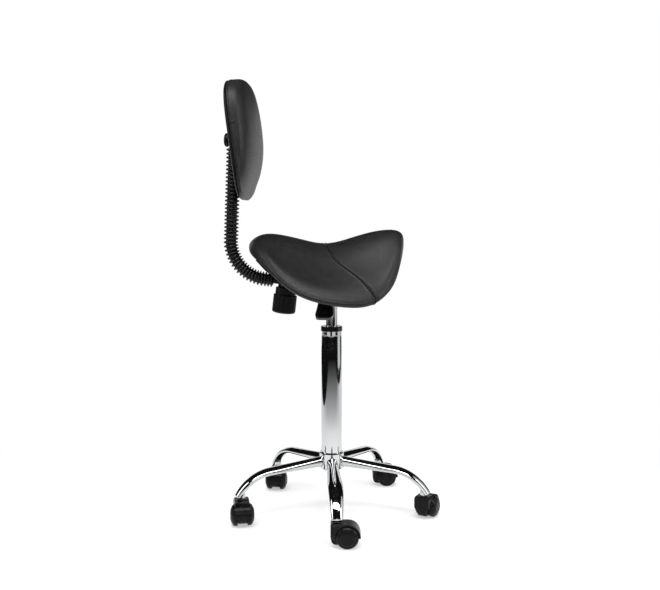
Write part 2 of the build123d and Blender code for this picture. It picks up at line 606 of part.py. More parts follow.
def make_bar_bracket():
    """Box channel behind the pan that carries the bar, with a threaded boss below."""
    length = (PAN_REAR - BRACKET_MOUTH_X) / cos(radians(BAR_LOWER_SLOPE))
    middle = bar_frame((PAN_REAR + BRACKET_MOUTH_X) / 2)
    outer = Box(length + 4 * SHEET, CHANNEL_WIDTH + 2 * SHEET, CHANNEL_HEIGHT + 2 * SHEET)
    bracket = middle * outer
    boss = Pos(0, 0, -CHANNEL_HEIGHT / 2 - SHEET) * Cylinder(
        CLAMP_BOSS_RADIUS, CLAMP_BOSS_HEIGHT, align=(Align.CENTER, Align.CENTER, Align.MAX))
    bracket += bar_frame(CLAMP_X) * boss
    bracket -= middle * Box(length + 8 * SHEET, CHANNEL_WIDTH, CHANNEL_HEIGHT)
    bracket -= bar_frame(CLAMP_X) * Pos(0, 0, -20) * Cylinder(CLAMP_SCREW_RADIUS + FIT, 40)
    keep = Box(PAN_REAR - FIT - BRACKET_MOUTH_X, 100, 200, align=(Align.MIN, Align.CENTER, Align.CENTER))
    bracket &= Pos(BRACKET_MOUTH_X, 0, BOARD_BOTTOM) * keep
    return bracket - Pos(BRACKET_MOUTH_X, 0, BOARD_BOTTOM - FIT) * Box(
        80, 100, 20, align=(Align.CENTER, Align.CENTER, Align.MIN))


def make_seat_bolts():
    bolt = disc(BOLT_RADIUS - FIT, PAN_TOP - SHEET, BOARD_BOTTOM + BOARD_THICKNESS - 2)
    head_top = PAN_TOP - SHEET - FIT
    bolt += disc(BOLT_HEAD_RADIUS, head_top - BOLT_HEAD_HEIGHT, head_top + FIT)
    bolt -= Pos(0, 0, head_top - BOLT_HEAD_HEIGHT) * extrude(RegularPolygon(2.3, 6), amount=2)
    return group(Pos(x, side * BOLT_Y, 0) * bolt for x in BOLT_X for side in (-1, 1))


def make_tee_nuts():
    top = BOARD_BOTTOM + BOARD_THICKNESS - FIT
    nut = disc(TEE_NUT_BARREL, BOARD_BOTTOM + FIT, top)
    nut += disc(TEE_NUT_FLANGE, top - TEE_NUT_FLANGE_THICKNESS, top)
    nut -= disc(BOLT_RADIUS, BOARD_BOTTOM - 1, top + 1)
    return group(Pos(x, side * BOLT_Y, 0) * nut for x in BOLT_X for side in (-1, 1))


def make_lever_rod():
    """Bent rod: flat run over the release button, boss on the pivot, then down to the paddle."""
    droop = radians(LEVER_DROOP)
    end = (LEVER_BEND_REACH + LEVER_ROD_DROOP_LENGTH * cos(droop), 0, -LEVER_ROD_DROOP_LENGTH * sin(droop))
    path = FilletPolyline((-LEVER_INNER_REACH, 0, 0), (LEVER_BEND_REACH, 0, 0), end, radius=LEVER_BEND_RADIUS)
    start = Plane(origin=(-LEVER_INNER_REACH, 0, 0), z_dir=(1, 0, 0))
    rod = sweep(start * Circle(LEVER_RADIUS), path)
    boss_width = 2 * (PIVOT_EAR_GAP - 0.5)
    rod += Pos(LEVER_PIVOT_REACH, 0, 0) * Rot(90, 0, 0) * Cylinder(PIVOT_BOSS_RADIUS - 1, boss_width)
    rod -= Pos(LEVER_PIVOT_REACH, 0, 0) * Rot(90, 0, 0) * Cylinder(PIVOT_PIN_RADIUS + RUN, 2 * boss_width)
    return lever_frame() * rod


def make_lever_pin():
    length = 2 * (PIVOT_EAR_GAP + SHEET) + 3
    pin = Rot(90, 0, 0) * Cylinder(PIVOT_PIN_RADIUS, length)
    return lever_frame() * Pos(LEVER_PIVOT_REACH, 0, 0) * pin


def make_lever_paddle():
    """Moulded tongue that widens to a rolled lip, with a socket for the rod."""
    droop = radians(LEVER_DROOP)
    start = (PADDLE_INNER_REACH - LEVER_BEND_REACH) / cos(droop)
    half_root, half_tip = PADDLE_ROOT_WIDTH / 2, PADDLE_TIP_WIDTH / 2
    outline = make_face(Polyline([
        (0, -half_root), (0.35 * PADDLE_LENGTH, -0.8 * half_tip), (0.8 * PADDLE_LENGTH, -half_tip),
        (0.96 * PADDLE_LENGTH, -0.86 * half_tip), (PADDLE_LENGTH, -0.55 * half_tip),
        (PADDLE_LENGTH, 0.55 * half_tip), (0.96 * PADDLE_LENGTH, 0.86 * half_tip),
        (0.8 * PADDLE_LENGTH, half_tip), (0.35 * PADDLE_LENGTH, 0.8 * half_tip), (0, half_root),
    ], close=True))
    half = PADDLE_THICKNESS / 2 + 0.8
    plate = extrude(outline, amount=PADDLE_LENGTH, both=True)
    side = make_face(Plane.XZ * Polyline([
        (0, -half), (0, half), (0.3 * PADDLE_LENGTH, half), (0.55 * PADDLE_LENGTH, 0.1 * half),
        (0.84 * PADDLE_LENGTH, 0.0), (0.93 * PADDLE_LENGTH, half), (PADDLE_LENGTH, half),
        (PADDLE_LENGTH, -0.4 * half), (0.9 * PADDLE_LENGTH, -half),
    ], close=True))
    paddle = plate & extrude(side, amount=PADDLE_TIP_WIDTH, both=True)
    hole_end = LEVER_ROD_DROOP_LENGTH - start + FREE
    paddle -= Pos(hole_end / 2 - 5, 0, 0) * Rot(0, 90, 0) * Cylinder(LEVER_RADIUS + FIT, hole_end + 10)
    place = Pos(LEVER_BEND_REACH, 0, 0) * Rot(0, LEVER_DROOP, 0) * Pos(start, 0, 0)
    return lever_frame() * place * paddle


# ---- back bar, its clamp and its boot -----------------------------------------------------
def bar_path(first_x, upper_length):
    """Centre line of the bar: lower run, bend and upper run."""
    slope, lean = radians(BAR_LOWER_SLOPE), radians(BAR_UPPER_LEAN)
    first_z = BAR_CORNER_Z - (first_x - BAR_CORNER_X) * tan(slope)
    last = (BAR_CORNER_X + upper_length * sin(lean), 0, BAR_CORNER_Z + upper_length * cos(lean))
    return FilletPolyline((first_x, 0, first_z), (BAR_CORNER_X, 0, BAR_CORNER_Z), last, radius=BAR_BEND_RADIUS)


def make_back_bar():
    path = bar_path(BAR_INNER_X, BAR_UPPER_LENGTH)
    start = Plane(origin=path @ 0, x_dir=(0, 1, 0), z_dir=path % 0)
    bar = sweep(start * Rectangle(BAR_WIDTH, BAR_THICKNESS), path)
    return bar - bar_frame(STOP_PIN_X) * Cylinder(STOP_PIN_RADIUS + FIT, 4 * BAR_THICKNESS)


def make_bar_stop_pin():
    return bar_frame(STOP_PIN_X) * Cylinder(STOP_PIN_RADIUS, STOP_PIN_LENGTH)


def make_bar_boot():
    """Corrugated boot: rings of ridge and valley radius set square to the bar's centre line."""
    path = bar_path(BOOT_START_X, BOOT_TOP)
    ribs = round(path.length / BOOT_PITCH)
    rings = []
    for i in range(2 * ribs + 1):
        place = Plane(origin=path @ (i / (2 * ribs)), x_dir=(0, 1, 0), z_dir=path % (i / (2 * ribs)))
        rings.append((place * Circle(BOOT_RIDGE if i % 2 else BOOT_VALLEY)).wire())
    start = Plane(origin=path @ 0, x_dir=(0, 1, 0), z_dir=path % 0)
    return Solid.make_loft(rings, ruled=True) - sweep(start * Circle(BOOT_BORE), path)


def make_clamp_screw():
    return bar_frame(CLAMP_X) * disc(CLAMP_SCREW_RADIUS, -CLAMP_SCREW_END, -CLAMP_SCREW_TIP)


def make_clamp_knob():
    """Knob with a plain shoulder and a fluted grip, moulded round the screw's head."""
    shoulder_top = -CLAMP_KNOB_TOP
    grip_top = shoulder_top - KNOB_SHOULDER_HEIGHT
    grip_bottom = grip_top - KNOB_GRIP_HEIGHT
    knob = turned([
        (0, grip_bottom), (KNOB_RADIUS - 7, grip_bottom), (KNOB_RADIUS - 1.5, grip_bottom + 1.8),
        (KNOB_RADIUS, grip_bottom + 5), (KNOB_RADIUS, grip_top - 1), (KNOB_RADIUS - 1, grip_top),
        (KNOB_SHOULDER_RADIUS, grip_top), (KNOB_SHOULDER_RADIUS, shoulder_top - 1),
        (KNOB_SHOULDER_RADIUS - 1, shoulder_top), (0, shoulder_top),
    ])
    flute_at = KNOB_RADIUS + KNOB_FLUTE_RADIUS - KNOB_FLUTE_DEPTH
    flute = Pos(flute_at, 0, grip_bottom + 4) * Cylinder(
        KNOB_FLUTE_RADIUS, KNOB_GRIP_HEIGHT - 8, align=(Align.CENTER, Align.CENTER, Align.MIN))
    for i in range(KNOB_FLUTES):
        knob -= Rot(0, 0, i * 360 / KNOB_FLUTES) * flute
    knob -= disc(CLAMP_SCREW_RADIUS + FIT, -CLAMP_SCREW_END - FIT, shoulder_top + 1)
    return bar_frame(CLAMP_X) * knob


# ---- saddle seat ------------------------------------------------------------------------
def board_points(half_width, low, board):
    """Upper side of the moulded board at one station, from its flat middle out to its edge."""
    edge = half_width - SEAT_RIM
    flat = min(BOARD_FLAT, BOARD_FLAT_SHARE * half_width)
    tip = low + SEAT_ROLL + 4
    middle = (flat + edge) / 2
    return [(flat, board), (middle, board - 0.36 * (board - tip)), (edge, min(tip, board))]


def board_body(margin, depth):
    """Moulded seat board, or the pocket for it when a margin is given."""
    wires = []
    for x, half_width, crown, low, board in SEAT_STATIONS[2:-2]:
        side = board_points(half_width, low, board)
        side[-1] = (side[-1][0] + margin, side[-1][1])
        top = [(x, -y, z + margin) for y, z in reversed(side)] + [(x, y, z + margin) for y, z in side]
        bottom = [(x, y, z - margin - depth) for x, y, z in reversed(top)]
        wires.append(Wire(Polyline(top + bottom, close=True).edges()))
    return Solid.make_loft(wires, ruled=True)


def make_seat_board():
    board = board_body(0, BOARD_THICKNESS)
    seat_on_pan = Pos((PAN_REAR + PAN_FRONT) / 2, 0, BOARD_BOTTOM) * Box(
        PAN_FRONT - PAN_REAR + 4 * PAN_FLANGE, 400, 60, align=(Align.CENTER, Align.CENTER, Align.MAX))
    flat = Pos((PAN_REAR + PAN_FRONT) / 2, 0, 0) * Box(
        PAN_FRONT - PAN_REAR + 1.2 * PAN_FLANGE + 2, 2 * (PAN_HALF_WIDTH + PAN_FLANGE) + 2, 2000)
    board -= seat_on_pan & flat
    for x in BOLT_X:
        for side in (-1, 1):
            place = Pos(x, side * BOLT_Y, 0)
            board -= place * disc(TEE_NUT_BARREL + FIT, BOARD_BOTTOM - 5, BOARD_BOTTOM + 20)
            board -= place * disc(TEE_NUT_FLANGE + FIT, BOARD_BOTTOM + BOARD_THICKNESS - TEE_NUT_FLANGE_THICKNESS - 2 * FIT,
                                  BOARD_BOTTOM + 20)
    return board


def seat_section(x, half_width, crown, low, board):
    """Closed section: bell-shaped top that flares to a rolled edge, and a shallow underside."""
    half_roll = min(SEAT_ROLL, 0.3 * (crown - low))
    roll = low + half_roll
    drop = crown - roll - half_roll
    side = ((0.95, 1.0), (0.80, 0.87), (0.56, 0.52), (0.30, 0.15))
    left = [(x, -half_width * t, crown - drop * s) for t, s in side]
    right = [(x, half_width * t, crown - drop * s) for t, s in reversed(side)]
    start, end = (x, -half_width, roll), (x, half_width, roll)
    points = [start] + left + [(x, 0, crown)] + right + [end]
    shares = [-1.0] + [-t + 0.1 * t ** 4 for t, _ in side]
    shares += [0.0] + [-share for share in reversed(shares)]
    rise = 1.3 * half_roll / (shares[1] - shares[0])
    top = Edge.make_spline([Vector(*point) for point in points], parameters=shares, scale=False,
                           tangents=[Vector(0, 0, rise), Vector(0, 0, -rise)])
    under = min(board - 5, (crown + low) / 2)
    half = [(0.985, roll - 0.6 * half_roll), (0.94, low), (0.84, low + 0.3 * half_roll), (0.42, under)]
    right = [(x, half_width * t, z) for t, z in half]
    left = [(x, -half_width * t, z) for t, z in reversed(half)]
    bottom = Polyline([end] + right + left + [start])
    return Wire([top] + bottom.edges())


def make_seat_cushion():
    sections = [seat_section(*station) for station in SEAT_STATIONS]
    cushion = Solid.make_loft(sections)
    return cushion - board_body(FREE, 60)


# ---- back pad -----------------------------------------------------------------------------
def pad_frame():
    """Local X is the pad's front normal, local Z runs up the pad; X = 0 is its rear face."""
    return Pos(PAD_X, 0, PAD_Z) * Rot(0, -PAD_RECLINE, 0)


def pad_half_height(y):
    return PAD_HALF_HEIGHT * (1 - abs(y / PAD_HALF_WIDTH) ** PAD_SQUARENESS) ** (1 / PAD_SQUARENESS)


def pad_section(y, share):
    """Closed section of the pad at y: flat rear, front that is fullest above the middle."""
    rear = PAD_COVER_THICKNESS + FREE
    half = pad_half_height(y)
    thick = PAD_THICKNESS * share
    front = ((-1.0, 0.0), (-0.92, 0.30), (-0.62, 0.66), (-0.25, 0.90), (0.10, 1.0), (0.45, 1.0),
             (0.75, 0.91), (0.94, 0.62), (1.0, 0.0))
    points = [(rear + thick * n, y, half * s) for s, n in front]
    curve = Edge.make_spline([Vector(*point) for point in points], parameters=[s for s, _ in front])
    back = Line((rear, y, half), (rear, y, -half))
    return Wire([curve, back.edge()])


def pad_outline(inset):
    """Front-view outline of the pad, moved inwards by inset, as a face in the local YZ plane."""
    shares = (0.0, 0.3, 0.55, 0.75, 0.88, 0.96)
    width, height = PAD_HALF_WIDTH - inset, PAD_HALF_HEIGHT - inset
    upper = [(-share * width, height * (1 - share ** PAD_SQUARENESS) ** (1 / PAD_SQUARENESS))
             for share in reversed(shares)]
    upper += [(-y, z) for y, z in reversed(upper[:-1])]
    quarter = [(-width, 0)] + upper + [(width, 0)]
    lower = [(y, -z) for y, z in reversed(quarter[1:-1])]
    top = Spline([(0, y, z) for y, z in quarter], tangents=[(0, 0, 1), (0, 0, -1)])
    bottom = Spline([(0, width, 0)] + [(0, y, z) for y, z in lower] + [(0, -width, 0)],
                    tangents=[(0, 0, -1), (0, 0, 1)])
    return make_face(Wire([top.edge(), bottom.edge()]))


def pad_plate(inset, back, front):
    plate = extrude(pad_outline(inset), amount=front - back, dir=(1, 0, 0))
    return Pos(back, 0, 0) * plate


def pad_window():
    """Opening in the rear cover through which the bracket reaches the board."""
    height = PAD_WINDOW_TOP - PAD_WINDOW_BOTTOM
    middle = (PAD_WINDOW_TOP + PAD_WINDOW_BOTTOM) / 2
    return Pos(0, 0, middle) * Box(4 * PAD_COVER_THICKNESS, 2 * PAD_WINDOW_HALF_WIDTH, height)


def make_pad_cushion():
    wires = []
    for share, thick in [(-y, t) for y, t in reversed(PAD_STATIONS[1:])] + list(PAD_STATIONS):
        wires.append(pad_section(share * PAD_HALF_WIDTH, thick))
    cushion = Solid.make_loft(wires)
    board_front = PAD_COVER_THICKNESS + FIT + PAD_BOARD_THICKNESS
    return pad_frame() * (cushion - pad_plate(PAD_BOARD_INSET - FREE, 0, board_front + FREE))


def make_pad_board():
    back = PAD_COVER_THICKNESS + FIT
    board = pad_plate(PAD_BOARD_INSET, back, back + PAD_BOARD_THICKNESS)
    for y, z in pad_bolt_places():
        board -= Pos(back, y, z) * Rot(0, 90, 0) * Cylinder(BOLT_RADIUS + FIT, 2 * (PAD_BOARD_THICKNESS - 2))
    return pad_frame() * board


def make_pad_back_cover():
    cover = pad_plate(PAD_COVER_INSET, 0, PAD_COVER_THICKNESS)
    return pad_frame() * (cover - pad_window())


def pad_bolt_places():
    return [(side * PAD_BOLT_Y, z) for z in PAD_BOLT_Z for side in (-1, 1)]


def make_pad_bolts():
    head_back = PAD_COVER_THICKNESS - PAD_PLATE_THICKNESS
    bolt = Pos(head_back, 0, 0) * Rot(0, -90, 0) * Cylinder(
        BOLT_HEAD_RADIUS, BOLT_HEAD_HEIGHT - 1, align=(Align.CENTER, Align.CENTER, Align.MIN))
    bolt += Pos(head_back - 0.5, 0, 0) * Rot(0, 90, 0) * Cylinder(
        BOLT_RADIUS - FIT, PAD_PLATE_THICKNESS + PAD_BOARD_THICKNESS - 3, align=(Align.CENTER, Align.CENTER, Align.MIN))
    return pad_frame() * group(Pos(0, y, z) * bolt for y, z in pad_bolt_places())


def make_pad_bracket():
    """Plate on the board, two cheeks and a sleeve that slides on the bar's upper run."""
    outer = Box(CHANNEL_HEIGHT + 2 * SHEET, CHANNEL_WIDTH + 2 * SHEET, SLEEVE_LENGTH,
                align=(Align.CENTER, Align.CENTER, Align.MIN))
    inner = Box(CHANNEL_HEIGHT, CHANNEL_WIDTH, 4 * SLEEVE_LENGTH)
    plate_height = PAD_PLATE_HEIGHT
    plate_back = PAD_COVER_THICKNESS - PAD_PLATE_THICKNESS
    plate = Pos(plate_back, 0, (PAD_BOLT_Z[0] + PAD_BOLT_Z[1]) / 2) * Box(
        PAD_PLATE_THICKNESS, 2 * PAD_PLATE_HALF_WIDTH, plate_height, align=(Align.MIN, Align.CENTER, Align.CENTER))
    plate = pad_frame() * plate
    cheeks = upper_frame(SLEEVE_START) * Box(40, CHANNEL_WIDTH + 2 * SHEET, SLEEVE_LENGTH,
                                             align=(Align.MIN, Align.CENTER, Align.MIN))
    cheeks -= upper_frame(SLEEVE_START) * Box(200, CHANNEL_WIDTH, 4 * SLEEVE_LENGTH)
    behind_plate = pad_frame() * Pos(plate_back + 1, 0, 0) * Box(
        400, 400, 600, align=(Align.MAX, Align.CENTER, Align.CENTER))
    bracket = plate + (cheeks & behind_plate) + (upper_frame(SLEEVE_START) * outer & behind_plate)
    boss = Pos(-CHANNEL_HEIGHT / 2 - SHEET, 0, 0) * Rot(0, -90, 0) * Cylinder(
        PAD_BOSS_RADIUS, PAD_BOSS_HEIGHT, align=(Align.CENTER, Align.CENTER, Align.MIN))
    bracket += upper_frame(PAD_SCREW_AT) * boss
    bracket -= upper_frame(SLEEVE_START) * inner
    bracket -= upper_frame(PAD_SCREW_AT) * Pos(-20, 0, 0) * Rot(0, 90, 0) * Cylinder(PAD_SCREW_RADIUS + FIT, 40)
    for y, z in pad_bolt_places():
        bracket -= pad_frame() * Pos(plate_back, y, z) * Rot(0, 90, 0) * Cylinder(BOLT_RADIUS + FIT, 20)
    return bracket


def make_pad_knob_screw():
    tip = BAR_THICKNESS / 2 + FREE / 2
    length = PAD_KNOB_FRONT + 0.7 * PAD_KNOB_HEIGHT - tip
    screw = Pos(-tip, 0, 0) * Rot(0, -90, 0) * Cylinder(
        PAD_SCREW_RADIUS, length, align=(Align.CENTER, Align.CENTER, Align.MIN))
    return upper_frame(PAD_SCREW_AT) * screw


def make_pad_knob():
    """Round knob, domed outside, moulded round the end of its screw."""
    rear = PAD_KNOB_HEIGHT
    knob = turned([
        (0, 0), (PAD_KNOB_RADIUS - 4, 0), (PAD_KNOB_RADIUS, 2.5), (PAD_KNOB_RADIUS, 0.6 * rear),
        (PAD_KNOB_RADIUS - 1.5, 0.85 * rear), (PAD_KNOB_RADIUS - 5, rear), (0, rear),
    ])
    knob -= disc(PAD_SCREW_RADIUS + FIT, -5, 0.7 * PAD_KNOB_HEIGHT + FIT)
    return upper_frame(PAD_SCREW_AT) * Pos(-PAD_KNOB_FRONT, 0, 0) * Rot(0, -90, 0) * knob


def make_all():
    """Every piece under its name."""
    pieces = {
        "hub": make_hub(), "legs": make_legs(), "stem_sockets": make_stem_sockets(),
        "caster_stems": make_caster_stems(), "column_tube": make_column_tube(),
        "column_cap": make_column_cap(), "guide_bush": make_guide_bush(),
        "column_floor": make_column_floor(), "bearing_balls": make_bearing_balls(),
        "bearing_washer": make_bearing_washer(), "bump_rubber": make_bump_rubber(),
        "piston_rod": make_piston_rod(), "piston_head": make_piston_head(), "rod_clip": make_rod_clip(),
        "gas_cylinder": make_gas_cylinder(), "cylinder_seal": make_cylinder_seal(),
        "valve_button": make_valve_button(), "mech_plate": make_mech_plate(),
        "taper_socket": make_taper_socket(), "bar_bracket": make_bar_bracket(),
        "seat_bolts": make_seat_bolts(), "tee_nuts": make_tee_nuts(),
        "lever_rod": make_lever_rod(), "lever_pin": make_lever_pin(), "lever_paddle": make_lever_paddle(),
        "back_bar": make_back_bar(), "bar_stop_pin": make_bar_stop_pin(), "bar_boot": make_bar_boot(),
        "clamp_screw": make_clamp_screw(), "clamp_knob": make_clamp_knob(),
        "seat_board": make_seat_board(), "seat_cushion": make_seat_cushion(),
        "pad_cushion": make_pad_cushion(), "pad_board": make_pad_board(),
        "pad_back_cover": make_pad_back_cover(), "pad_bolts": make_pad_bolts(),
        "pad_bracket": make_pad_bracket(), "pad_knob_screw": make_pad_knob_screw(),
        "pad_knob": make_pad_knob(),
    }
    hood, axle, wheels = make_hood(), make_axle(), {"right": make_wheel(-1), "left": make_wheel(1)}
    for i in range(LEG_COUNT):
        heading = CASTER_HEADINGS[i % len(CASTER_HEADINGS)]
        pieces[f"caster_{i + 1}_hood"] = at_leg(i, hood, heading)
        pieces[f"caster_{i + 1}_axle"] = at_leg(i, axle, heading)
        for side, wheel in wheels.items():
            pieces[f"caster_{i + 1}_wheel_{side}"] = at_leg(i, wheel, heading)
    return pieces


os.makedirs("parts", exist_ok=True)
for name, shape in make_all().items():
    export_step(shape, f"parts/{name}.step")
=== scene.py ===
"""Looks of a saddle-seat pedicure stool, built round its CAD frame.

Metres, in the CAD frame: +X is the way the sitter faces, +Y the sitter's left, +Z up, and the
origin is on the floor on the column's axis.
"""
import json
from math import cos, pi, radians, sin, tan

import bpy
import numpy as np
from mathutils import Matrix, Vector


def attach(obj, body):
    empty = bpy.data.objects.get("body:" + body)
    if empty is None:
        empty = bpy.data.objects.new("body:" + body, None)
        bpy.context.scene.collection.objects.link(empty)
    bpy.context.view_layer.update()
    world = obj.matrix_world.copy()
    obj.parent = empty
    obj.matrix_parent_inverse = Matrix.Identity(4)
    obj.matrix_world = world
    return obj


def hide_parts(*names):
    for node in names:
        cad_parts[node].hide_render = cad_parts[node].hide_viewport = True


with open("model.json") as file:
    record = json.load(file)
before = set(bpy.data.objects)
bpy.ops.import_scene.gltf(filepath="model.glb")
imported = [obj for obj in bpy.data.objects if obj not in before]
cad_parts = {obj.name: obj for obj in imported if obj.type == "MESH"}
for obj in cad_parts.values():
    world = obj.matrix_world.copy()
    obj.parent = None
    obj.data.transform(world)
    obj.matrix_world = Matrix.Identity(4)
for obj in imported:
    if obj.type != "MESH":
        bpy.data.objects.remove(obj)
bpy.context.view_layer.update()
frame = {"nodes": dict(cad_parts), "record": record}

MM = 0.001
scene = bpy.context.scene
scene.view_settings.view_transform = "Standard"


# ---- surfaces ---------------------------------------------------------------------------
def spline_through(knots, values, at):
    """Natural cubic spline: piecewise cubics through (knots, values) whose first and second
    slopes agree at each knot and whose second slope is zero at both ends. Values may have
    any number of columns."""
    knots, values = np.asarray(knots, float), np.asarray(values, float)
    flat = values.reshape(len(knots), -1)
    step = np.diff(knots)
    rows = np.eye(len(knots))
    right = np.zeros_like(flat)
    inner = np.arange(1, len(knots) - 1)
    rows[inner, inner - 1] = step[:-1]
    rows[inner, inner] = 2 * (step[:-1] + step[1:])
    rows[inner, inner + 1] = step[1:]
    slope = np.diff(flat, axis=0) / step[:, None]
    right[inner] = 6 * (slope[1:] - slope[:-1])
    bend = np.linalg.solve(rows, right)
    at = np.asarray(at, float)
    k = np.clip(np.searchsorted(knots, at, side="right") - 1, 0, len(step) - 1)
    h, a, b = step[k][..., None], (knots[k + 1] - at)[..., None], (at - knots[k])[..., None]
    result = (bend[k] * a ** 3 + bend[k + 1] * b ** 3) / (6 * h)
    result += (flat[k] / h - bend[k] * h / 6) * a + (flat[k + 1] / h - bend[k + 1] * h / 6) * b
    return result.reshape(at.shape + values.shape[1:])


def grid_faces(rows, columns, wrap_rows=False):
    """Quads between neighbouring points of a grid stored row by row; columns close up."""
    row = np.arange(rows if wrap_rows else rows - 1)
    i, j = [part.ravel() for part in np.meshgrid(row, np.arange(columns), indexing="ij")]
    i2, j2 = (i + 1) % rows, (j + 1) % columns
    return np.stack([i * columns + j, i * columns + j2, i2 * columns + j2, i2 * columns + j], 1)


def skin(name, grid, runs=1, wrap_rows=False):
    """Mesh piece from a grid of points (rows, columns, 3) in metres whose columns close on
    themselves. The rows make up one or more equal runs, and each run's first and last row are
    closed by fans to their middles. The faces are turned round together wherever the sum of
    their tetrahedra with the origin comes out negative, so they always look outward."""
    rows, columns = grid.shape[0] // runs, grid.shape[1]
    points = [grid.reshape(-1, 3)]
    faces = []
    ring = np.arange(columns)
    following = (ring + 1) % columns
    total = grid.shape[0] * columns
    for run in range(runs):
        base = run * rows * columns
        faces.append(grid_faces(rows, columns, wrap_rows) + base)
        if wrap_rows:
            continue
        last = base + (rows - 1) * columns
        pole = np.full(columns, total + 2 * run)
        points.append(np.stack([grid[run * rows].mean(0), grid[(run + 1) * rows - 1].mean(0)]))
        faces.append(np.stack([base + following, base + ring, pole], 1))
        faces.append(np.stack([last + ring, last + following, pole + 1], 1))
    points = np.vstack(points)
    halves = [half for part in faces for half in (part[:, :3], part[:, [0, 2, -1]])]
    first, second, third = points[np.vstack(halves).T]
    order = 1 if (first * np.cross(second, third)).sum() > 0 else -1
    mesh = bpy.data.meshes.new(name)
    corners = [face for part in faces for face in part[:, ::order].tolist()]
    mesh.from_pydata(points.tolist(), [], corners)
    mesh.shade_smooth()
    piece = bpy.data.objects.new(name, mesh)
    scene.collection.objects.link(piece)
    return piece


def turned(along, across, degrees):
    """A distance along a heading and one to its left, as distances along X and Y."""
    c, s = cos(radians(degrees)), sin(radians(degrees))
    return along * c - across * s, along * s + across * c


def half_cosine(share):
    """Rise from 0 to 1 as half a turn of a cosine."""
    return 0.5 - 0.5 * np.cos(pi * share)


def smooth_step(share):
    """Rise from 0 to 1 that is level at both ends: 3 squares less 2 cubes of the share."""
    return share ** 2 * (3 - 2 * share)


def bell(distance, height, width, middle=0.0):
    """Swell of this height about the middle that falls off as a Gaussian of this width."""
    return height * np.exp(-((distance - middle) / width) ** 2)


def full_turn(count):
    """Evenly spaced angles of one full turn."""
    return np.linspace(0, 2 * pi, count, endpoint=False)


def superellipse(power, count):
    """Cosines and sines of one turn, each divided by the power-th root of the sum of their
    power-th powers, so that the corners fill out as the power grows past two."""
    turn = full_turn(count)
    c, s = np.cos(turn), np.sin(turn)
    size = (np.abs(c) ** power + np.abs(s) ** power) ** (-1 / power)
    return c * size, s * size


def normals_of(grid):
    """Unit normals of a grid that closes along its columns: the cross product of its two
    central differences."""
    along = np.gradient(grid, axis=0)
    around = (np.roll(grid, -1, axis=1) - np.roll(grid, 1, axis=1)) / 2
    cross = np.cross(around, along)
    return cross / np.maximum(np.linalg.norm(cross, axis=2, keepdims=True), 1e-12)


def place(piece, body, material, slot, *nodes):
    """Give a new piece its finish and its body, and hide the CAD nodes that it stands for."""
    piece.data.materials.clear()
    piece.data.materials.append(material)
    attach(piece, body)
    if nodes:
        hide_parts(*nodes)
    return piece


# ---- shader nodes -----------------------------------------------------------------------
def map_range(tree, value, low, high, out_low=0.0, out_high=1.0, kind="LINEAR"):
    """Spread low to high of a value over out_low to out_high, and hold it at both ends."""
    node = tree.nodes.new("ShaderNodeMapRange")
    node.interpolation_type = kind
    spans = (("From Min", low), ("From Max", high), ("To Min", out_low), ("To Max", out_high))
    for key, number in spans:
        node.inputs[key].default_value = number
    tree.links.new(value, node.inputs["Value"])
    return node.outputs["Result"]


def math_of(tree, operation, *terms):
    """Join two terms, each a socket or a plain number."""
    node = tree.nodes.new("ShaderNodeMath")
    node.operation = operation
    for socket, term in zip(node.inputs, terms):
        if isinstance(term, bpy.types.NodeSocket):
            tree.links.new(term, socket)
        else:
            socket.default_value = term
    return node.outputs["Value"]


def distance_of(tree, coordinates):
    """Distance of the coordinates from the object's origin."""
    node = tree.nodes.new("ShaderNodeVectorMath")
    node.operation = "LENGTH"
    tree.links.new(coordinates, node.inputs[0])
    return node.outputs["Value"]


def mixed(tree, share, first, second):
    """Blend of two shaders by this share of the second, as the surface of the material."""
    node = tree.nodes.new("ShaderNodeMixShader")
    for socket, source in zip(node.inputs, (share, first, second)):
        tree.links.new(source, socket)
    tree.links.new(node.outputs["Shader"], tree.nodes["Material Output"].inputs["Surface"])


def new_material(name):
    material = bpy.data.materials.new(name)
    material.use_nodes = True
    return material


# ---- finishes ---------------------------------------------------------------------------
# Between these two values lies most of a noise or cell pattern.
PATTERN_SPAN = (0.3, 0.7)


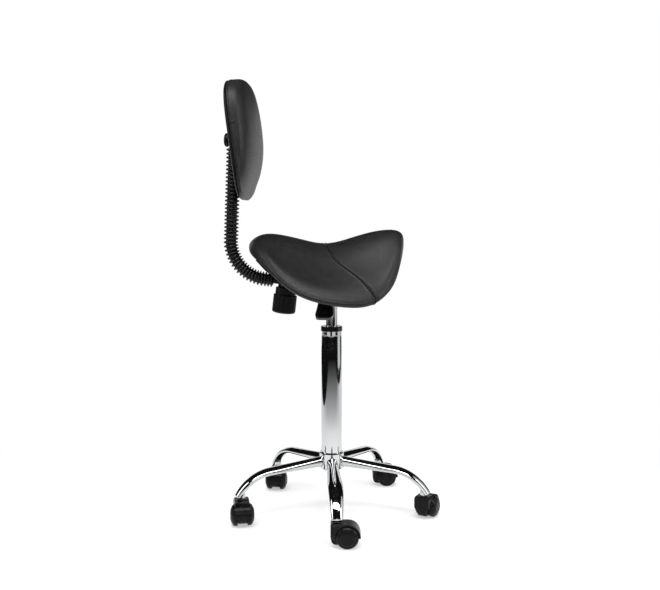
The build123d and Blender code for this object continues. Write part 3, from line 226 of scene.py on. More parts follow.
class Finish:
    """A material under construction: a Principled shader and helpers that add nodes to it."""

    def __init__(self, name, colour, metallic=0.0, roughness=0.5, specular=0.5):
        self.material = new_material(name)
        self.tree = self.material.node_tree
        self.shader = self.tree.nodes["Principled BSDF"]
        self.shader.inputs["Base Color"].default_value = (*colour, 1)
        self.shader.inputs["Metallic"].default_value = metallic
        self.shader.inputs["Roughness"].default_value = roughness
        self.shader.inputs["Specular IOR Level"].default_value = specular
        self.coordinates = self.add("ShaderNodeTexCoord").outputs["Object"]
        self.normal = None

    def add(self, kind):
        return self.tree.nodes.new(kind)

    def link(self, start, end):
        self.tree.links.new(start, end)

    def noise(self, scale, detail):
        node = self.add("ShaderNodeTexNoise")
        node.inputs["Scale"].default_value = scale
        node.inputs["Detail"].default_value = detail
        self.link(self.coordinates, node.inputs["Vector"])
        return node.outputs["Fac"]

    def cells(self, scale):
        node = self.add("ShaderNodeTexVoronoi")
        node.inputs["Scale"].default_value = scale
        self.link(self.coordinates, node.inputs["Vector"])
        return node.outputs["Distance"]

    def roughness(self, source, low, high):
        """Spread a pattern's usual values over the roughness from low to high."""
        self.link(map_range(self.tree, source, *PATTERN_SPAN, low, high),
                  self.shader.inputs["Roughness"])

    def colour(self, source, dark, light):
        """Spread a pattern's usual values over the colours from dark to light."""
        blend = self.add("ShaderNodeValToRGB")
        for element, at, shade in zip(blend.color_ramp.elements, PATTERN_SPAN, (dark, light)):
            element.position = at
            element.color = (*shade, 1)
        self.link(source, blend.inputs["Fac"])
        self.link(blend.outputs["Color"], self.shader.inputs["Base Color"])

    def rounded(self, radius):
        """Soften the edges of a rigid piece by this radius."""
        node = self.add("ShaderNodeBevel")
        node.samples = 6
        node.inputs["Radius"].default_value = radius
        self.normal = node.outputs["Normal"]
        self.link(self.normal, self.shader.inputs["Normal"])

    def bump(self, source, depth, strength=1.0):
        node = self.add("ShaderNodeBump")
        node.inputs["Strength"].default_value = strength
        node.inputs["Distance"].default_value = depth
        self.link(source, node.inputs["Height"])
        if self.normal is not None:
            self.link(self.normal, node.inputs["Normal"])
        self.normal = node.outputs["Normal"]
        self.link(self.normal, self.shader.inputs["Normal"])


def chrome_finish():
    finish = Finish("polished_chrome", (0.57, 0.575, 0.585), metallic=1.0, roughness=0.05)
    finish.roughness(finish.noise(35, 4), 0.035, 0.085)
    finish.bump(finish.noise(9, 2), 0.00012)
    return finish.material


def steel_finish(name, colour, low, high):
    finish = Finish(name, colour, metallic=1.0)
    finish.rounded(0.0004)
    finish.roughness(finish.noise(120, 4), low, high)
    finish.bump(finish.noise(600, 2), 0.00005)
    return finish.material


def plastic_finish(name, colour, low, high, grain, depth, edge=0.0008, specular=0.5):
    finish = Finish(name, colour, specular=specular)
    finish.rounded(edge)
    light = tuple(1.5 * part + 0.002 for part in colour)
    finish.colour(finish.noise(45, 4), colour, light)
    finish.roughness(finish.noise(90, 3), low, high)
    finish.bump(finish.noise(grain, 2), depth)
    return finish.material


def leather_finish():
    finish = Finish("charcoal_leather", (0.012, 0.012, 0.0125), roughness=0.5, specular=0.32)
    finish.colour(finish.noise(60, 5), (0.0065, 0.0065, 0.007), (0.010, 0.010, 0.0105))
    finish.roughness(finish.noise(240, 3), 0.40, 0.50)
    finish.bump(finish.noise(14, 3), 0.0006, 0.6)
    finish.bump(finish.cells(900), 0.00016, 0.6)
    finish.bump(finish.noise(1500, 2), 0.00008, 0.5)
    return finish.material


def wood_finish():
    finish = Finish("bare_plywood", (0.55, 0.40, 0.24), roughness=0.7)
    finish.colour(finish.noise(80, 6), (0.45, 0.31, 0.18), (0.62, 0.47, 0.30))
    finish.bump(finish.noise(300, 3), 0.0002)
    return finish.material


# Name, colour, lowest and highest roughness, grain per metre and its depth in metres.
PLASTICS = {
    "black_steel": ("black_powder_coat", (0.004, 0.004, 0.004), 0.38, 0.5, 900, 0.00010,
                    {"specular": 0.25}),
    "caster_plastic": ("caster_nylon", (0.0022, 0.0022, 0.0022), 0.22, 0.32, 1200, 0.00006,
                       {"specular": 0.13}),
    "black_plastic": ("moulded_black", (0.0025, 0.0025, 0.0025), 0.30, 0.42, 1400, 0.00006,
                      {"specular": 0.15}),
    "gloss_black": ("gloss_black", (0.003, 0.003, 0.003), 0.06, 0.12, 300, 0.00002,
                    {"specular": 0.6}),
    "bush_plastic": ("natural_acetal", (0.60, 0.60, 0.56), 0.35, 0.45, 900, 0.00004, {}),
    "rubber": ("bump_rubber", (0.008, 0.008, 0.008), 0.6, 0.75, 700, 0.0001,
               {"specular": 0.25}),
    "boot_rubber": ("boot_rubber", (0.003, 0.003, 0.003), 0.22, 0.32, 900, 0.00006,
                    {"edge": 0.0003, "specular": 0.5}),
    "thread": ("sewing_thread", (0.020, 0.020, 0.021), 0.5, 0.6, 4000, 0.00004,
               {"edge": 0.0001, "specular": 0.3}),
}
FINISHES = {
    "chrome": chrome_finish(),
    "steel": steel_finish("machined_steel", (0.60, 0.61, 0.63), 0.18, 0.32),
    "zinc": steel_finish("zinc_plate", (0.60, 0.60, 0.58), 0.28, 0.42),
    "plywood": wood_finish(),
    "leather": leather_finish(),
}
for key, (*settings, extra) in PLASTICS.items():
    FINISHES[key] = plastic_finish(*settings, **extra)

slot_of = {part["node"]: part["material_slot"] for part in frame["record"]["subparts"]}
for node, item in frame["nodes"].items():
    item.data.materials.clear()
    item.data.materials.append(FINISHES[slot_of[node]])


# ---- saddle seat ------------------------------------------------------------------------
# Distance forward, half width, crown height, lower edge, height inside above the board; mm.
SADDLE = np.array([
    (-196.5, 0.0, 643.0, 642.0, 642.5),
    (-195.0, 14.0, 648.5, 637.0, 643.0),
    (-189.0, 44.0, 656.0, 630.5, 645.0),
    (-172.0, 87.0, 667.5, 618.5, 640.0),
    (-147.0, 122.0, 672.0, 602.0, 625.0),
    (-110.0, 158.0, 667.5, 571.5, 594.0),
    (-68.0, 180.0, 658.0, 543.5, 585.0),
    (-16.0, 184.0, 649.5, 525.0, 585.0),
    (48.0, 170.0, 663.5, 514.4, 585.0),
    (95.0, 148.0, 676.5, 518.0, 586.0),
    (130.0, 118.0, 681.5, 540.0, 604.0),
    (150.0, 88.0, 680.5, 569.0, 619.0),
    (162.0, 56.0, 675.5, 607.0, 642.0),
    (168.5, 22.0, 666.0, 636.0, 650.0),
    (170.0, 0.0, 654.0, 652.0, 653.0),
])
# Way round a section in millimetres, share of the half width there, and the height as shares
# of crown, brim, half roll, lower edge and inside.
SECTION = np.array([
    (0, 0.0, 1.0, 0.0, 0.0, 0.0, 0.0),
    (57, 0.30, 0.85, 0.15, 0.0, 0.0, 0.0),
    (120, 0.56, 0.50, 0.50, 0.0, 0.0, 0.0),
    (172, 0.79, 0.20, 0.80, 0.0, 0.0, 0.0),
    (200, 0.905, 0.04, 0.96, 0.0, 0.0, 0.0),
    (222, 0.975, 0.0, 0.0, 1.2, 1.0, 0.0),
    (236, 1.0, 0.0, 0.0, 0.42, 1.0, 0.0),
    (245, 0.975, 0.0, 0.0, 0.02, 1.0, 0.0),
    (264, 0.88, 0.0, 0.0, 0.3, 1.0, 0.0),
    (280, 0.83, 0.0, 0.0, 0.9, 1.0, 0.0),
    (340, 0.45, 0.0, 0.0, 0.0, 0.0, 1.0),
    (400, 0.0, 0.0, 0.0, 0.0, 0.0, 1.0),
])
EDGE_ROLL = 14.0              # radius of the rolled edge
WIDEST = 236.0                # way round a section to its widest point
SEAM_BAND = 16.0              # closely spaced rows reach this far from the seam
STITCH_PITCH, STITCH_LENGTH, THREAD_RADIUS = 4.2, 2.8, 0.42
STITCH_OFFSET = 6.2           # distance of the thread in front of the seam
# Share of the half width across, and how far forward the cross seam lies there; millimetres.
SADDLE_SEAM = np.array([(-0.136, -15), (0, -17), (0.136, -15), (0.27, -6), (0.366, 1), (0.51, 19),
                        (0.624, 43), (0.75, 68), (0.887, 89), (1.0, 104)])


def saddle_values(x):
    """Half width, crown, lower edge and inside height at x: splines over the angle whose
    cosine places x between the two tips, so that both ends come out round."""
    rear, front = SADDLE[0, 0], SADDLE[-1, 0]

    def turn(at):
        return np.arccos(np.clip(1 - 2 * (at - rear) / (front - rear), -1, 1))

    return spline_through(turn(SADDLE[:, 0]), SADDLE[:, 1:], turn(x))


def section_shares(way):
    """Blend of the section's rules at each way round: a spline through SECTION mirrored about
    the crown, so that the two flanks meet smoothly."""
    mirrored = np.vstack([SECTION[:0:-1] * np.r_[-1, -1, np.ones(5)], SECTION])
    return spline_through(mirrored[:, 0], mirrored[:, 1:], way)


def saddle_points(x, way):
    """Points on the cover at distances forward x (any shape ending in the shape of way). The
    height blends crown, brim, roll, lower edge and inside by the section's shares. Above the
    edge it turns, over the last 70 mm at the rear and in part over 50 mm at the front, into a
    dome that is half an ellipse across."""
    across, *shares = section_shares(way).T
    values = saddle_values(x)
    width, crown, low, inside = [values[..., k] for k in range(4)]
    roll = np.minimum(EDGE_ROLL, 0.3 * (crown - low))
    heights = (crown, low + 2 * roll, roll, low, inside)
    z = sum(share * height for share, height in zip(shares, heights))
    edge = low + 0.42 * roll
    domed = edge + (crown - edge) * np.sqrt(np.clip(1 - across ** 2, 0, 1))
    tips = np.maximum(np.clip((-115 - x) / 70, 0, 1), 0.6 * np.clip((x - 110) / 50, 0, 1))
    tips = smooth_step(tips) * (np.abs(way) <= WIDEST)
    return np.stack([x, across * width, z + tips * (domed - z)], -1)


def seam_line(way):
    """How far forward the seam lies at each way round the section."""
    across = np.abs(section_shares(way)[:, 0])
    return spline_through(SADDLE_SEAM[:, 0], SADDLE_SEAM[:, 1], np.minimum(across, 1))


def seat_grid():
    """Rows run from the rear tip to the front tip and bend with the cross seam, closest to
    each other at the seam, where they are spaced by a tangent, and at the tips, where they
    are spaced by a cosine. Columns run once round a section."""
    way = np.concatenate([np.linspace(-267, 267, 250), np.linspace(275, 400, 14),
                          np.linspace(-392, -275, 13)])
    seam = seam_line(way)
    fine = np.sort(np.r_[0, np.tan(np.linspace(-1.45, 1.45, 46)) * 2.2])
    fine = fine[np.abs(fine) < SEAM_BAND]

    def from_tip(tip, end, count):
        share = 1 - np.cos(pi * np.linspace(0, 1, count)[:-1, None] / 2)
        return tip + share * (end - tip)

    rear = from_tip(SADDLE[0, 0], seam - SEAM_BAND, 86)
    front = from_tip(SADDLE[-1, 0], seam + SEAM_BAND, 66)[::-1]
    x = np.vstack([rear, seam + fine[:, None], front])
    return saddle_points(x, way), x - seam, way


def dress_seat():
    """Cover with the seam pressed in, its welt raised in front of it, a pulled-down row of
    stitching, faint puckers behind, and a dented line above the rolled edge."""
    grid, away, way = seat_grid()
    normal = normals_of(grid)
    if normal[60, 125, 2] < 0:
        normal = -normal
    shown = np.clip((262 - np.abs(way)) / 14, 0, 1)
    pucker = np.sin(way / 5.2) * np.sin(way / 17.0 + 1.0)
    relief = (bell(away, -1.2, 0.8) + bell(away, 1.6, 1.1, 2.4) + bell(away, -0.9, 1.0, 5.4)
              + bell(away, 0.5, 1.6, -3.0) + pucker * bell(away, 0.22, 6.0, -9.0))
    x = grid[..., 0]
    ends = np.clip(np.minimum(x - SADDLE[0, 0], SADDLE[-1, 0] - x) / 14, 0, 1)
    piping = bell(np.abs(way), -0.7, 1.5, 229)
    grid = grid + normal * (relief * shown + piping * ends)[..., None]
    piece = skin("seat_cover", grid * MM)
    place(piece, "seat", FINISHES["leather"], "leather", "seat_cushion")


def dress_stitches():
    """Thread: short capsules in front of the welt, sunk by a quarter of a millimetre. Each is
    a row of circles along a chord of the cover, which narrow towards its two ends."""
    way = np.arange(-WIDEST, WIDEST + 1, STITCH_PITCH)
    start, end = [saddle_points(seam_line(at) + STITCH_OFFSET, at)
                  for at in (way - STITCH_LENGTH / 2, way + STITCH_LENGTH / 2)]
    beyond = saddle_points(seam_line(way) + STITCH_OFFSET + 2, way)
    middle = (start + end) / 2
    along = end - start
    out = np.cross(along, beyond - middle)
    out *= np.sign(out[:, 2:]) / np.linalg.norm(out, axis=1)[:, None]
    side = np.cross(along, out) / np.linalg.norm(along, axis=1)[:, None]
    turn = full_turn(6)[:, None]
    rings = np.array([(-0.5, 0.35), (-0.42, 0.8), (0.0, 1.0), (0.42, 0.8), (0.5, 0.35)])
    ring = (np.cos(turn) * side[:, None] + np.sin(turn) * out[:, None]) * THREAD_RADIUS
    base = (middle - 0.25 * out)[:, None] + rings[:, 0, None] * along[:, None]
    points = base[:, :, None] + rings[:, 1, None, None] * ring[:, None]
    piece = skin("seat_thread", points.reshape(-1, 6, 3) * MM, runs=len(way))
    place(piece, "seat", FINISHES["thread"], "leather")


# ---- back pad ---------------------------------------------------------------------------
PAD_CENTRE = (-221.1, 885.74)
PAD_RECLINE = 7.5
# Depth from the rear plane, half width, lower and upper reach, outline's exponent; mm.
PAD_RINGS = np.array([
    (7.7, 141.0, -130.0, 129.0, 3.4),
    (8.4, 146.0, -134.0, 133.5, 3.4),
    (10.8, 149.0, -133.5, 135.5, 3.4),
    (17.2, 150.0, -118.5, 136.3, 3.4),
    (27.2, 147.0, -95.5, 136.1, 3.2),
    (36.2, 138.0, -71.0, 135.5, 3.0),
    (44.0, 120.0, -48.5, 131.0, 2.7),
    (49.5, 92.0, -24.5, 114.0, 2.4),
    (53.2, 60.0, 7.5, 92.0, 2.2),
    (55.2, 25.0, 39.5, 72.9, 2.0),
    (55.5, 1.5, 54.5, 57.5, 2.0),
])


def pad_surface():
    """Back pad as a grid: each row is a superellipse at one depth, between its lower and
    upper reach. Rows run forward, spaced by the way over the upper edge and the side."""
    steps = np.diff(PAD_RINGS[:, :4], axis=0)
    knots = np.r_[0, np.cumsum(np.sqrt(steps[:, 0] ** 2 + ((steps[:, 1:] ** 2).sum(1)) / 3))]
    at = np.concatenate([np.linspace(0, knots[2], 16)[:-1], np.linspace(knots[2], knots[-1], 150)])
    depth, width, low, high, power = spline_through(knots, PAD_RINGS, at).T[..., None]
    across, rise = superellipse(power, 320)
    z = (high + low) / 2 + (high - low) / 2 * rise
    return np.stack([np.broadcast_to(depth, z.shape), width * across, z], 2)


def to_pad(points):
    """Turn local pad points (forward, left, up) by the recline and move them to the pad. The
    lower end bends back by up to 9 mm, as the square of the way below the middle."""
    lean = radians(PAD_RECLINE)
    x, y, z = points[..., 0], points[..., 1], points[..., 2]
    x = x - 9 * np.clip((-z - 45) / 90, 0, 1) ** 2
    return np.stack([PAD_CENTRE[0] + x * cos(lean) - z * sin(lean), y,
                     PAD_CENTRE[1] + x * sin(lean) + z * cos(lean)], -1)


def dress_pad():
    """Pad with a pressed-in line where the front panel meets the side, a small crease in each
    side, and slack of a millimetre or so in the side's cloth."""
    grid = pad_surface()
    normal = normals_of(grid)
    if normal[-30, 0, 0] < 0:
        normal = -normal
    x, y, z = grid[..., 0], grid[..., 1], grid[..., 2]
    side = bell(x, 1, 7, 16) * np.clip((np.abs(y) - 110) / 30, 0, 1)
    crease = bell(z - 0.25 * (x - 16), -1.0, 1.6, 25) + bell(z, 0.7, 3.0, 29.5)
    relief = side * (crease + 0.5 * np.sin(z / 21 + 0.6)) + 0.25 * np.sin(z / 33 + y / 41)
    relief += bell(x, -2.0, 1.1, 11.8) + bell(x, 0.6, 1.0, 9.4)
    piece = skin("back_pad_cover", to_pad(grid + normal * relief[..., None]) * MM)
    place(piece, "back_pad", FINISHES["leather"], "leather", "pad_cushion")


def pad_ring(depth, half_width, half_height, middle=0.0, power=3.4):
    """Superellipse square to the pad's depth."""
    across, rise = superellipse(power, 160)
    return np.stack([0 * across + depth, half_width * across, middle + half_height * rise], 1)


def dress_pad_shell():
    """Rear shell with a rounded rim and a rectangular window for the bracket, and the plywood
    board inside the padding: superellipses one behind the other, given by their depth, half
    width and half height."""
    window = [(depth, 34, 57, 7.3, 12) for depth in (7.4, 0.0)]
    rim = [(0.0, 60, 75), (0.0, 105, 100), (0.0, 131, 117.5), (0.5, 137, 123.5),
           (1.8, 142.5, 129), (3.8, 147, 133.5), (6.2, 149.3, 135.8), (7.4, 149.6, 136.1),
           (7.4, 120, 110), (7.4, 80, 85)]
    rows = np.stack([pad_ring(*ring) for ring in window + rim])
    shell = skin("back_pad_shell", to_pad(rows) * MM, wrap_rows=True)
    place(shell, "back_pad", FINISHES["black_plastic"], "black_plastic", "pad_back_cover")
    edge = [(7.9, 132.6, 119), (8.6, 133.4, 119.8), (14.8, 133.4, 119.8), (15.6, 132.6, 119)]
    board = skin("back_pad_board", to_pad(np.stack([pad_ring(*ring) for ring in edge])) * MM)
    place(board, "back_pad", FINISHES["plywood"], "plywood", "pad_board")


# ---- legs -------------------------------------------------------------------------------
LEG_TURNS = [-84 + 72 * k for k in range(5)]
LEG_SLOPE, LEG_END_SLOPE = radians(4.5), radians(58)
LEG_START = (30.0, 122.8)     # distance out and height of the centre line at the hub
LEG_STRAIGHT, LEG_BEND = 122.0, 103.0
LEG_TIP_RUN, LEG_TIP_CAP = 4.5, 4.0
# Width and depth at four places along the straight run, three along the arc, and the tip.
LEG_SIZES = np.array([(27, 25), (29.6, 21.8), (32.25, 19.35), (34.5, 17.5), (33.6, 17.0),
                      (30.8, 16.5), (26, 16), (25.4, 15.8)])


def leg_line():
    """Leg's centre line as distance out, height and fall, with its width and depth: a straight
    run, an arc down to the end slope, and a short tip that closes as half an ellipse."""
    slope, end, bend = LEG_SLOPE, LEG_END_SLOPE, LEG_BEND
    run, arc = LEG_STRAIGHT / cos(slope), bend * (end - slope)
    tip = LEG_TIP_RUN + LEG_TIP_CAP
    s = np.concatenate([np.linspace(-4, run, 34)[:-1], np.linspace(run, run + arc, 44),
                        run + arc + tip * np.sin(np.linspace(0, pi / 2, 16)[1:])])
    straight = np.clip(s, None, run)
    fall = slope + np.clip((s - run) / bend, 0, end - slope)
    after = np.maximum(s - run - arc, 0)
    out, up = LEG_START
    reach = out + straight * cos(slope) + bend * (np.sin(fall) - sin(slope)) + after * cos(end)
    height = up - straight * sin(slope) - bend * (cos(slope) - np.cos(fall)) - after * sin(end)
    knots = np.r_[np.array([-0.06, 0.35, 0.7, 1.0]) * run,
                  run + np.array([0.33, 0.66, 1.0]) * arc, run + arc + tip + 0.5]
    width, depth = spline_through(knots, LEG_SIZES, s).T
    closing = np.maximum(after - LEG_TIP_RUN, 0) / (LEG_TIP_CAP + 0.02)
    shrink = 0.02 + 0.98 * np.sqrt(np.clip(1 - closing ** 2, 0, 1))
    return reach, height, fall, width * shrink, depth * shrink


def dress_legs():
    """Each leg: ellipses across its centre line, the same leg turned by 72 degrees each time."""
    reach, height, fall, width, depth = [part[:, None] for part in leg_line()]
    turn = full_turn(48)
    rise = depth / 2 * np.sin(turn)
    out = reach + rise * np.sin(fall)
    across = width / 2 * np.cos(turn)
    z = height + rise * np.cos(fall)
    legs = [np.stack([*turned(out, across, leg), z], 2) for leg in LEG_TURNS]
    piece = skin("legs_chromed", np.concatenate(legs) * MM, runs=len(LEG_TURNS))
    place(piece, "base", FINISHES["chrome"], "chrome", "legs")


# ---- small forms ------------------------------------------------------------------------
CASTER_HEADINGS = (2.0, 63.0, 5.0, -94.0, -77.0)
CASTER_CIRCLE = 226.0         # radius on which the casters swivel
# Distance ahead of the stem, and height.
WEB_OUTLINE = np.array([(-13.2, 30), (-13.6, 24), (-13.2, 17), (-11.5, 11.5), (-8, 8),
                        (-2, 6.4), (12, 6), (30, 6.4), (40, 9.5), (46, 15), (48.5, 21),
                        (48.5, 27), (40, 31), (12, 32)])
# Distance from the web's middle plane, and the outline's size there.
WEB_ROWS = ((-10.6, 0.95), (-10.1, 0.985), (-9.2, 1), (9.2, 1), (10.1, 0.985), (10.6, 0.95))


def dress_webs():
    """Hood's web between a caster's two wheels: an outline in the caster's upright plane,
    21.2 mm wide with its edges rounded."""
    middle = WEB_OUTLINE.mean(0)
    for number, (leg, heading) in enumerate(zip(LEG_TURNS, CASTER_HEADINGS), 1):
        stem = turned(CASTER_CIRCLE, 0, leg)
        rows = []
        for across, size in WEB_ROWS:
            along, up = (middle + (WEB_OUTLINE - middle) * size).T
            x, y = turned(along, across, heading)
            rows.append(np.stack([stem[0] + x, stem[1] + y, up], 1))
        piece = skin(f"hood_web_{number}", np.stack(rows) * MM)
        place(piece, f"caster_{number}", FINISHES["caster_plastic"], "caster_plastic")


# ---- column -----------------------------------------------------------------------------
def revolved(profile, segments):
    """Rings round an upright axis at the origin from (radius, height) points."""
    radius, height = np.array(profile, float).T[..., None]
    turn = full_turn(segments)
    return np.stack([radius * np.cos(turn), radius * np.sin(turn), height + 0 * turn], 2)


def dress_column():
    """Tube with a slightly tapered foot and an open mouth, drawn in by 0.5 mm over 60 mm and
    by 0.7 mm over the last 18 mm, each as a half cosine."""
    foot = [(22.6, 103), (24.2, 103), (25, 146)]
    taper = [(25 - 0.5 * half_cosine(k / 24), 367 + 60 * k / 24) for k in range(25)]
    neck = [(24.5 - 0.7 * half_cosine(k / 12), 427 + 18 * k / 12) for k in range(1, 13)]
    mouth = [(23.8, 446.6), (23.4, 447), (22.2, 447)]
    bore = [(22.2, 427), (23.4, 367), (23.4, 146)]
    grid = revolved(foot + taper + neck + mouth + bore, 160)
    piece = skin("column_chromed", grid * MM, wrap_rows=True)
    place(piece, "base", FINISHES["chrome"], "chrome", "column_tube")


# ---- boot -------------------------------------------------------------------------------
BAR_CORNER = np.array((-243.5, 573.4))    # where the two straight runs would meet
BAR_SLOPE, BAR_LEAN, BAR_BEND = radians(6.5), radians(2.4), 90.0
BOOT_START, BOOT_TOP = 105.2, 300.0       # the boot's ends, along the runs from the corner
BOOT_RIBS, BOOT_RIDGE, BOOT_VALLEY, BOOT_BORE = 43, 17.5, 12.2, 11.3
SQUEEZED_RUN, SQUEEZE = 120.0, 0.26
CLAMP_X = -107.0                          # where the knob's screw crosses the bar
# Radius round the screw, and height above the bar's middle.
COLLAR_PROFILE = ((9.8, -6.9), (19.0, -6.9), (19.6, -7.6), (19.6, -13.5), (19.0, -14.2),
                  (9.8, -14.2))


def bar_line(samples):
    """Bar's centre line and direction in the upright plane, from the boot's lower end to its
    top: a straight run, an arc tangent to both runs, and a straight run."""
    toward = np.array((cos(BAR_SLOPE), -sin(BAR_SLOPE)))
    up = np.array((sin(BAR_LEAN), cos(BAR_LEAN)))
    half_turn = (pi - np.arccos(toward @ up)) / 2
    tangent = BAR_BEND * tan(half_turn)
    arc = BAR_BEND * 2 * half_turn
    lower, upper = BOOT_START - tangent, BOOT_TOP - tangent
    total = lower + arc + upper
    s = np.linspace(0, total, samples)
    heading = -toward
    side = np.array((heading[1], -heading[0]))
    turn = np.clip((s - lower) / BAR_BEND, 0, 2 * half_turn)[:, None]
    straight = np.minimum(s, lower)[:, None]
    after = np.maximum(s - lower - arc, 0)[:, None]
    line = BAR_CORNER + toward * BOOT_START + straight * heading
    line = line + BAR_BEND * (np.sin(turn) * heading + (1 - np.cos(turn)) * side) + after * up
    direction = np.cos(turn) * heading + np.sin(turn) * side
    return line, direction, s


def dress_boot():
    """Boot: circles square to the bar's line whose radius swings between valley and ridge, one
    swing for each rib. The ribs are squeezed together over the lowest 120 mm, and each ridge
    is rounded and each valley is narrow."""
    line, direction, s = bar_line(BOOT_RIBS * 16 + 1)
    squeezed = s + SQUEEZE * SQUEEZED_RUN * (1 - np.exp(-s / SQUEEZED_RUN))
    wave = smooth_step(half_cosine(2 * BOOT_RIBS * squeezed / squeezed[-1])) ** 0.8
    radius = BOOT_VALLEY + (BOOT_RIDGE - BOOT_VALLEY) * wave
    none = np.zeros(len(s))
    across = np.stack([-direction[:, 1], none, direction[:, 0]], 1)[:, None]
    centre = np.stack([line[:, 0], none, line[:, 1]], 1)[:, None]
    turn = full_turn(56)[:, None]
    ring = np.cos(turn) * across + np.sin(turn) * np.array((0, 1, 0))
    outside = centre + radius[:, None, None] * ring
    bore = centre + BOOT_BORE * ring
    grid = np.concatenate([bore[:1], outside, bore[-1:], bore[::-1][1:-1][::20]], 0)
    piece = skin("bar_boot_skin", grid * MM, wrap_rows=True)
    place(piece, "back_bar", FINISHES["boot_rubber"], "boot_rubber", "bar_boot")


def dress_collar():
    """Moulded collar between the bracket and the big knob: its profile turned round the
    knob's screw, which stands square to the bar's lower run."""
    c, s = cos(BAR_SLOPE), sin(BAR_SLOPE)
    middle = BAR_CORNER + np.array((c, -s)) * (CLAMP_X - BAR_CORNER[0]) / c
    x, y, z = np.moveaxis(revolved(COLLAR_PROFILE, 64), 2, 0)
    grid = np.stack([middle[0] + x * c + z * s, y, middle[1] - x * s + z * c], 2)
    piece = skin("clamp_collar", grid * MM, wrap_rows=True)
    place(piece, "seat", FINISHES["black_plastic"], "black_plastic")


dress_seat()
dress_stitches()
dress_pad()
dress_pad_shell()
dress_legs()
dress_column()
dress_webs()
dress_boot()
dress_collar()


# ---- studio -----------------------------------------------------------------------------
def seen_directly(tree):
    """1 for rays from the camera, glossy rays and transmission rays, and 0 for all others."""
    path = tree.nodes.new("ShaderNodeLightPath").outputs
    seen = math_of(tree, "MAXIMUM", path["Is Camera Ray"], path["Is Glossy Ray"])
    return math_of(tree, "MAXIMUM", seen, path["Is Transmission Ray"])


def make_world():
    """Plain white where it is seen or mirrored, and weaker where it only lights the stool."""
    world = bpy.data.worlds.new("studio")
    world.use_nodes = True
    scene.world = world
    tree = world.node_tree
    background = tree.nodes["Background"]
    background.inputs["Color"].default_value = (1, 1, 1, 1)
    strength = map_range(tree, seen_directly(tree), 0, 1, 0.35, 1)
    tree.links.new(strength, background.inputs["Strength"])


def level(x0, x1, y0, y1, z):
    """Corners of a level rectangle that looks up."""
    return [(x0, y0, z), (x1, y0, z), (x1, y1, z), (x0, y1, z)]


def wall(start, end, z0, z1):
    """Corners of an upright rectangle between two places."""
    return [(*start, z0), (*end, z0), (*end, z1), (*start, z1)]


def stage_quad(name, corners, material):
    """Rectangle of the studio, which the part's own model leaves out."""
    mesh = bpy.data.meshes.new(name)
    mesh.from_pydata(corners, [], [tuple(range(len(corners)))])
    mesh.materials.append(material)
    piece = bpy.data.objects.new(name, mesh)
    scene.collection.objects.link(piece)
    return piece


def glow_of(tree, strength):
    node = tree.nodes.new("ShaderNodeEmission")
    node.inputs["Strength"].default_value = strength
    return node.outputs["Emission"]


def make_floor():
    """Pale floor that keeps the shadow near the stool and runs out to plain white: from 0.4 m
    to 1.1 m away, the share of white light in it grows from 0.45 to 1."""
    material = new_material("studio_floor")
    tree = material.node_tree
    shader = tree.nodes["Principled BSDF"]
    shader.inputs["Base Color"].default_value = (0.92, 0.92, 0.92, 1)
    shader.inputs["Roughness"].default_value = 0.6
    shader.inputs["Specular IOR Level"].default_value = 0.0
    coordinates = tree.nodes.new("ShaderNodeTexCoord").outputs["Object"]
    fade = map_range(tree, distance_of(tree, coordinates), 0.40, 1.1, 0.45, 1.0, "SMOOTHSTEP")
    share = math_of(tree, "MULTIPLY", seen_directly(tree), fade)
    mixed(tree, share, shader.outputs["BSDF"], glow_of(tree, 1.0))
    stage_quad("floor", level(-30, 30, -30, 30, 0), material)


def card_material(name, strength, fading=False):
    """Plain grey light of this strength. A fading card grows out of nothing from 0.7 m to
    2.3 m away from the stool, and only on the camera's side."""
    material = new_material(name)
    tree = material.node_tree
    glow = glow_of(tree, strength)
    if not fading:
        tree.links.new(glow, tree.nodes["Material Output"].inputs["Surface"])
        return material
    coordinates = tree.nodes.new("ShaderNodeTexCoord").outputs["Object"]
    split = tree.nodes.new("ShaderNodeSeparateXYZ")
    tree.links.new(coordinates, split.inputs["Vector"])
    nearness = map_range(tree, distance_of(tree, coordinates), 2.3, 0.7)
    grown = math_of(tree, "SUBTRACT", 1.0, math_of(tree, "POWER", nearness, 2.2))
    share = math_of(tree, "MULTIPLY", grown, map_range(tree, split.outputs["Y"], 0.3, -0.7))
    clear = tree.nodes.new("ShaderNodeBsdfTransparent").outputs["BSDF"]
    mixed(tree, share, clear, glow)
    return material


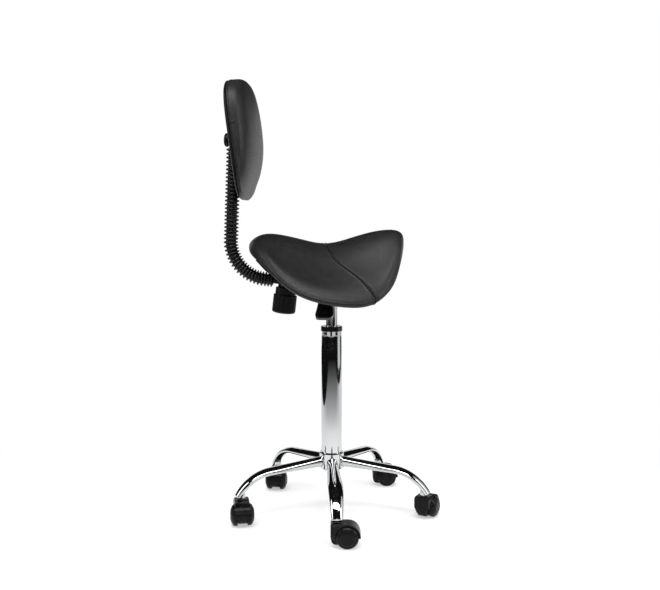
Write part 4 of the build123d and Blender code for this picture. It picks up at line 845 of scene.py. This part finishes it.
def make_dark_cards():
    """Cards that only polished metal and gloss see: dark ones on the floor round the stool,
    overhead and behind, walls that are pale low down and dark above, a tall pale strip on
    the right, and two pale spots in front."""
    hard = card_material("dark_card", 0.008)
    soft = card_material("fading_card", 0.008, fading=True)
    pale = card_material("pale_card", 0.42)
    strip = card_material("strip_card", 0.85)
    side, rear, top, above_floor = 3.5, 4.5, 3.6, 0.003
    left_edge, right_edge, rear_edge = -1.09, 1.49, 2.2
    cards = [
        ("card_left", hard, level(-side, left_edge, -side, rear_edge, above_floor)),
        ("card_right", hard, level(right_edge, side, -side, rear_edge, above_floor)),
        ("card_front", soft, level(left_edge, right_edge, -side, 0.3, above_floor)),
        ("card_strip", strip, wall((1.85, -0.5), (1.85, 0.8), 0.004, 2.2)),
        ("card_spot_left", strip, wall((-2.0, -1.72), (-0.58, -2.72), 0.20, 0.8)),
        ("card_spot_right", strip, wall((0.44, -2.78), (2.04, -2.01), 0.20, 0.8)),
        ("card_back", hard, wall((-side, rear), (side, rear), 1.8, top)),
        ("card_over", hard, level(-side, side, -side, rear, top)),
    ]
    corners = [(-side, rear), (-side, -side), (side, -side), (side, rear)]
    for ends in zip(corners, corners[1:]):
        cards.append(("card_wall_low", pale, wall(*ends, 0.0, 0.2)))
        cards.append(("card_wall_high", hard, wall(*ends, 0.2, top)))
    for name, material, points in cards:
        card = stage_quad(name, points, material)
        card.visible_camera = False
        card.visible_diffuse = False
        card.visible_shadow = False
        card.visible_transmission = False


def lamp(name, at, aim, size, power, glossy=True):
    """Rectangular lamp, its power in watts, that looks from one place towards another."""
    data = bpy.data.lights.new(name, "AREA")
    data.shape = "RECTANGLE"
    data.size, data.size_y = size
    data.energy = power
    item = bpy.data.objects.new(name, data)
    item.location = at
    item.rotation_euler = (Vector(aim) - Vector(at)).to_track_quat("-Z", "Y").to_euler()
    item.visible_glossy = glossy
    scene.collection.objects.link(item)


def make_lights():
    lamp("overhead", (0.0, 0.2, 2.8), (0, 0, 0), (2.4, 1.6), 60, glossy=False)
    lamp("front_high", (0.0, -1.15, 2.5), (0, 0, 0.3), (2.6, 0.7), 52)
    lamp("left_softbox", (-2.8, -0.6, 1.7), (0, 0, 0.6), (1.2, 2.0), 26)
    lamp("right_softbox", (2.8, -0.8, 1.6), (0, 0, 0.6), (1.2, 2.0), 36)
    lamp("front_fill", (0.2, -3.3, 1.9), (0, 0, 0.5), (1.8, 0.7), 16)


CAMERA_AT = (0.1029, -1.9625, 0.719)
CAMERA_HEADING = (-0.05407, 0.99375, -0.09763)
CAMERA_LENS = 45.199


def make_camera():
    data = bpy.data.cameras.new("camera")
    data.sensor_fit = "HORIZONTAL"
    data.sensor_width = 36
    data.lens = CAMERA_LENS
    item = bpy.data.objects.new("camera", data)
    item.location = CAMERA_AT
    item.rotation_euler = Vector(CAMERA_HEADING).to_track_quat("-Z", "Y").to_euler()
    scene.collection.objects.link(item)
    scene.camera = item


make_world()
make_floor()
make_dark_cards()
make_lights()
make_camera()
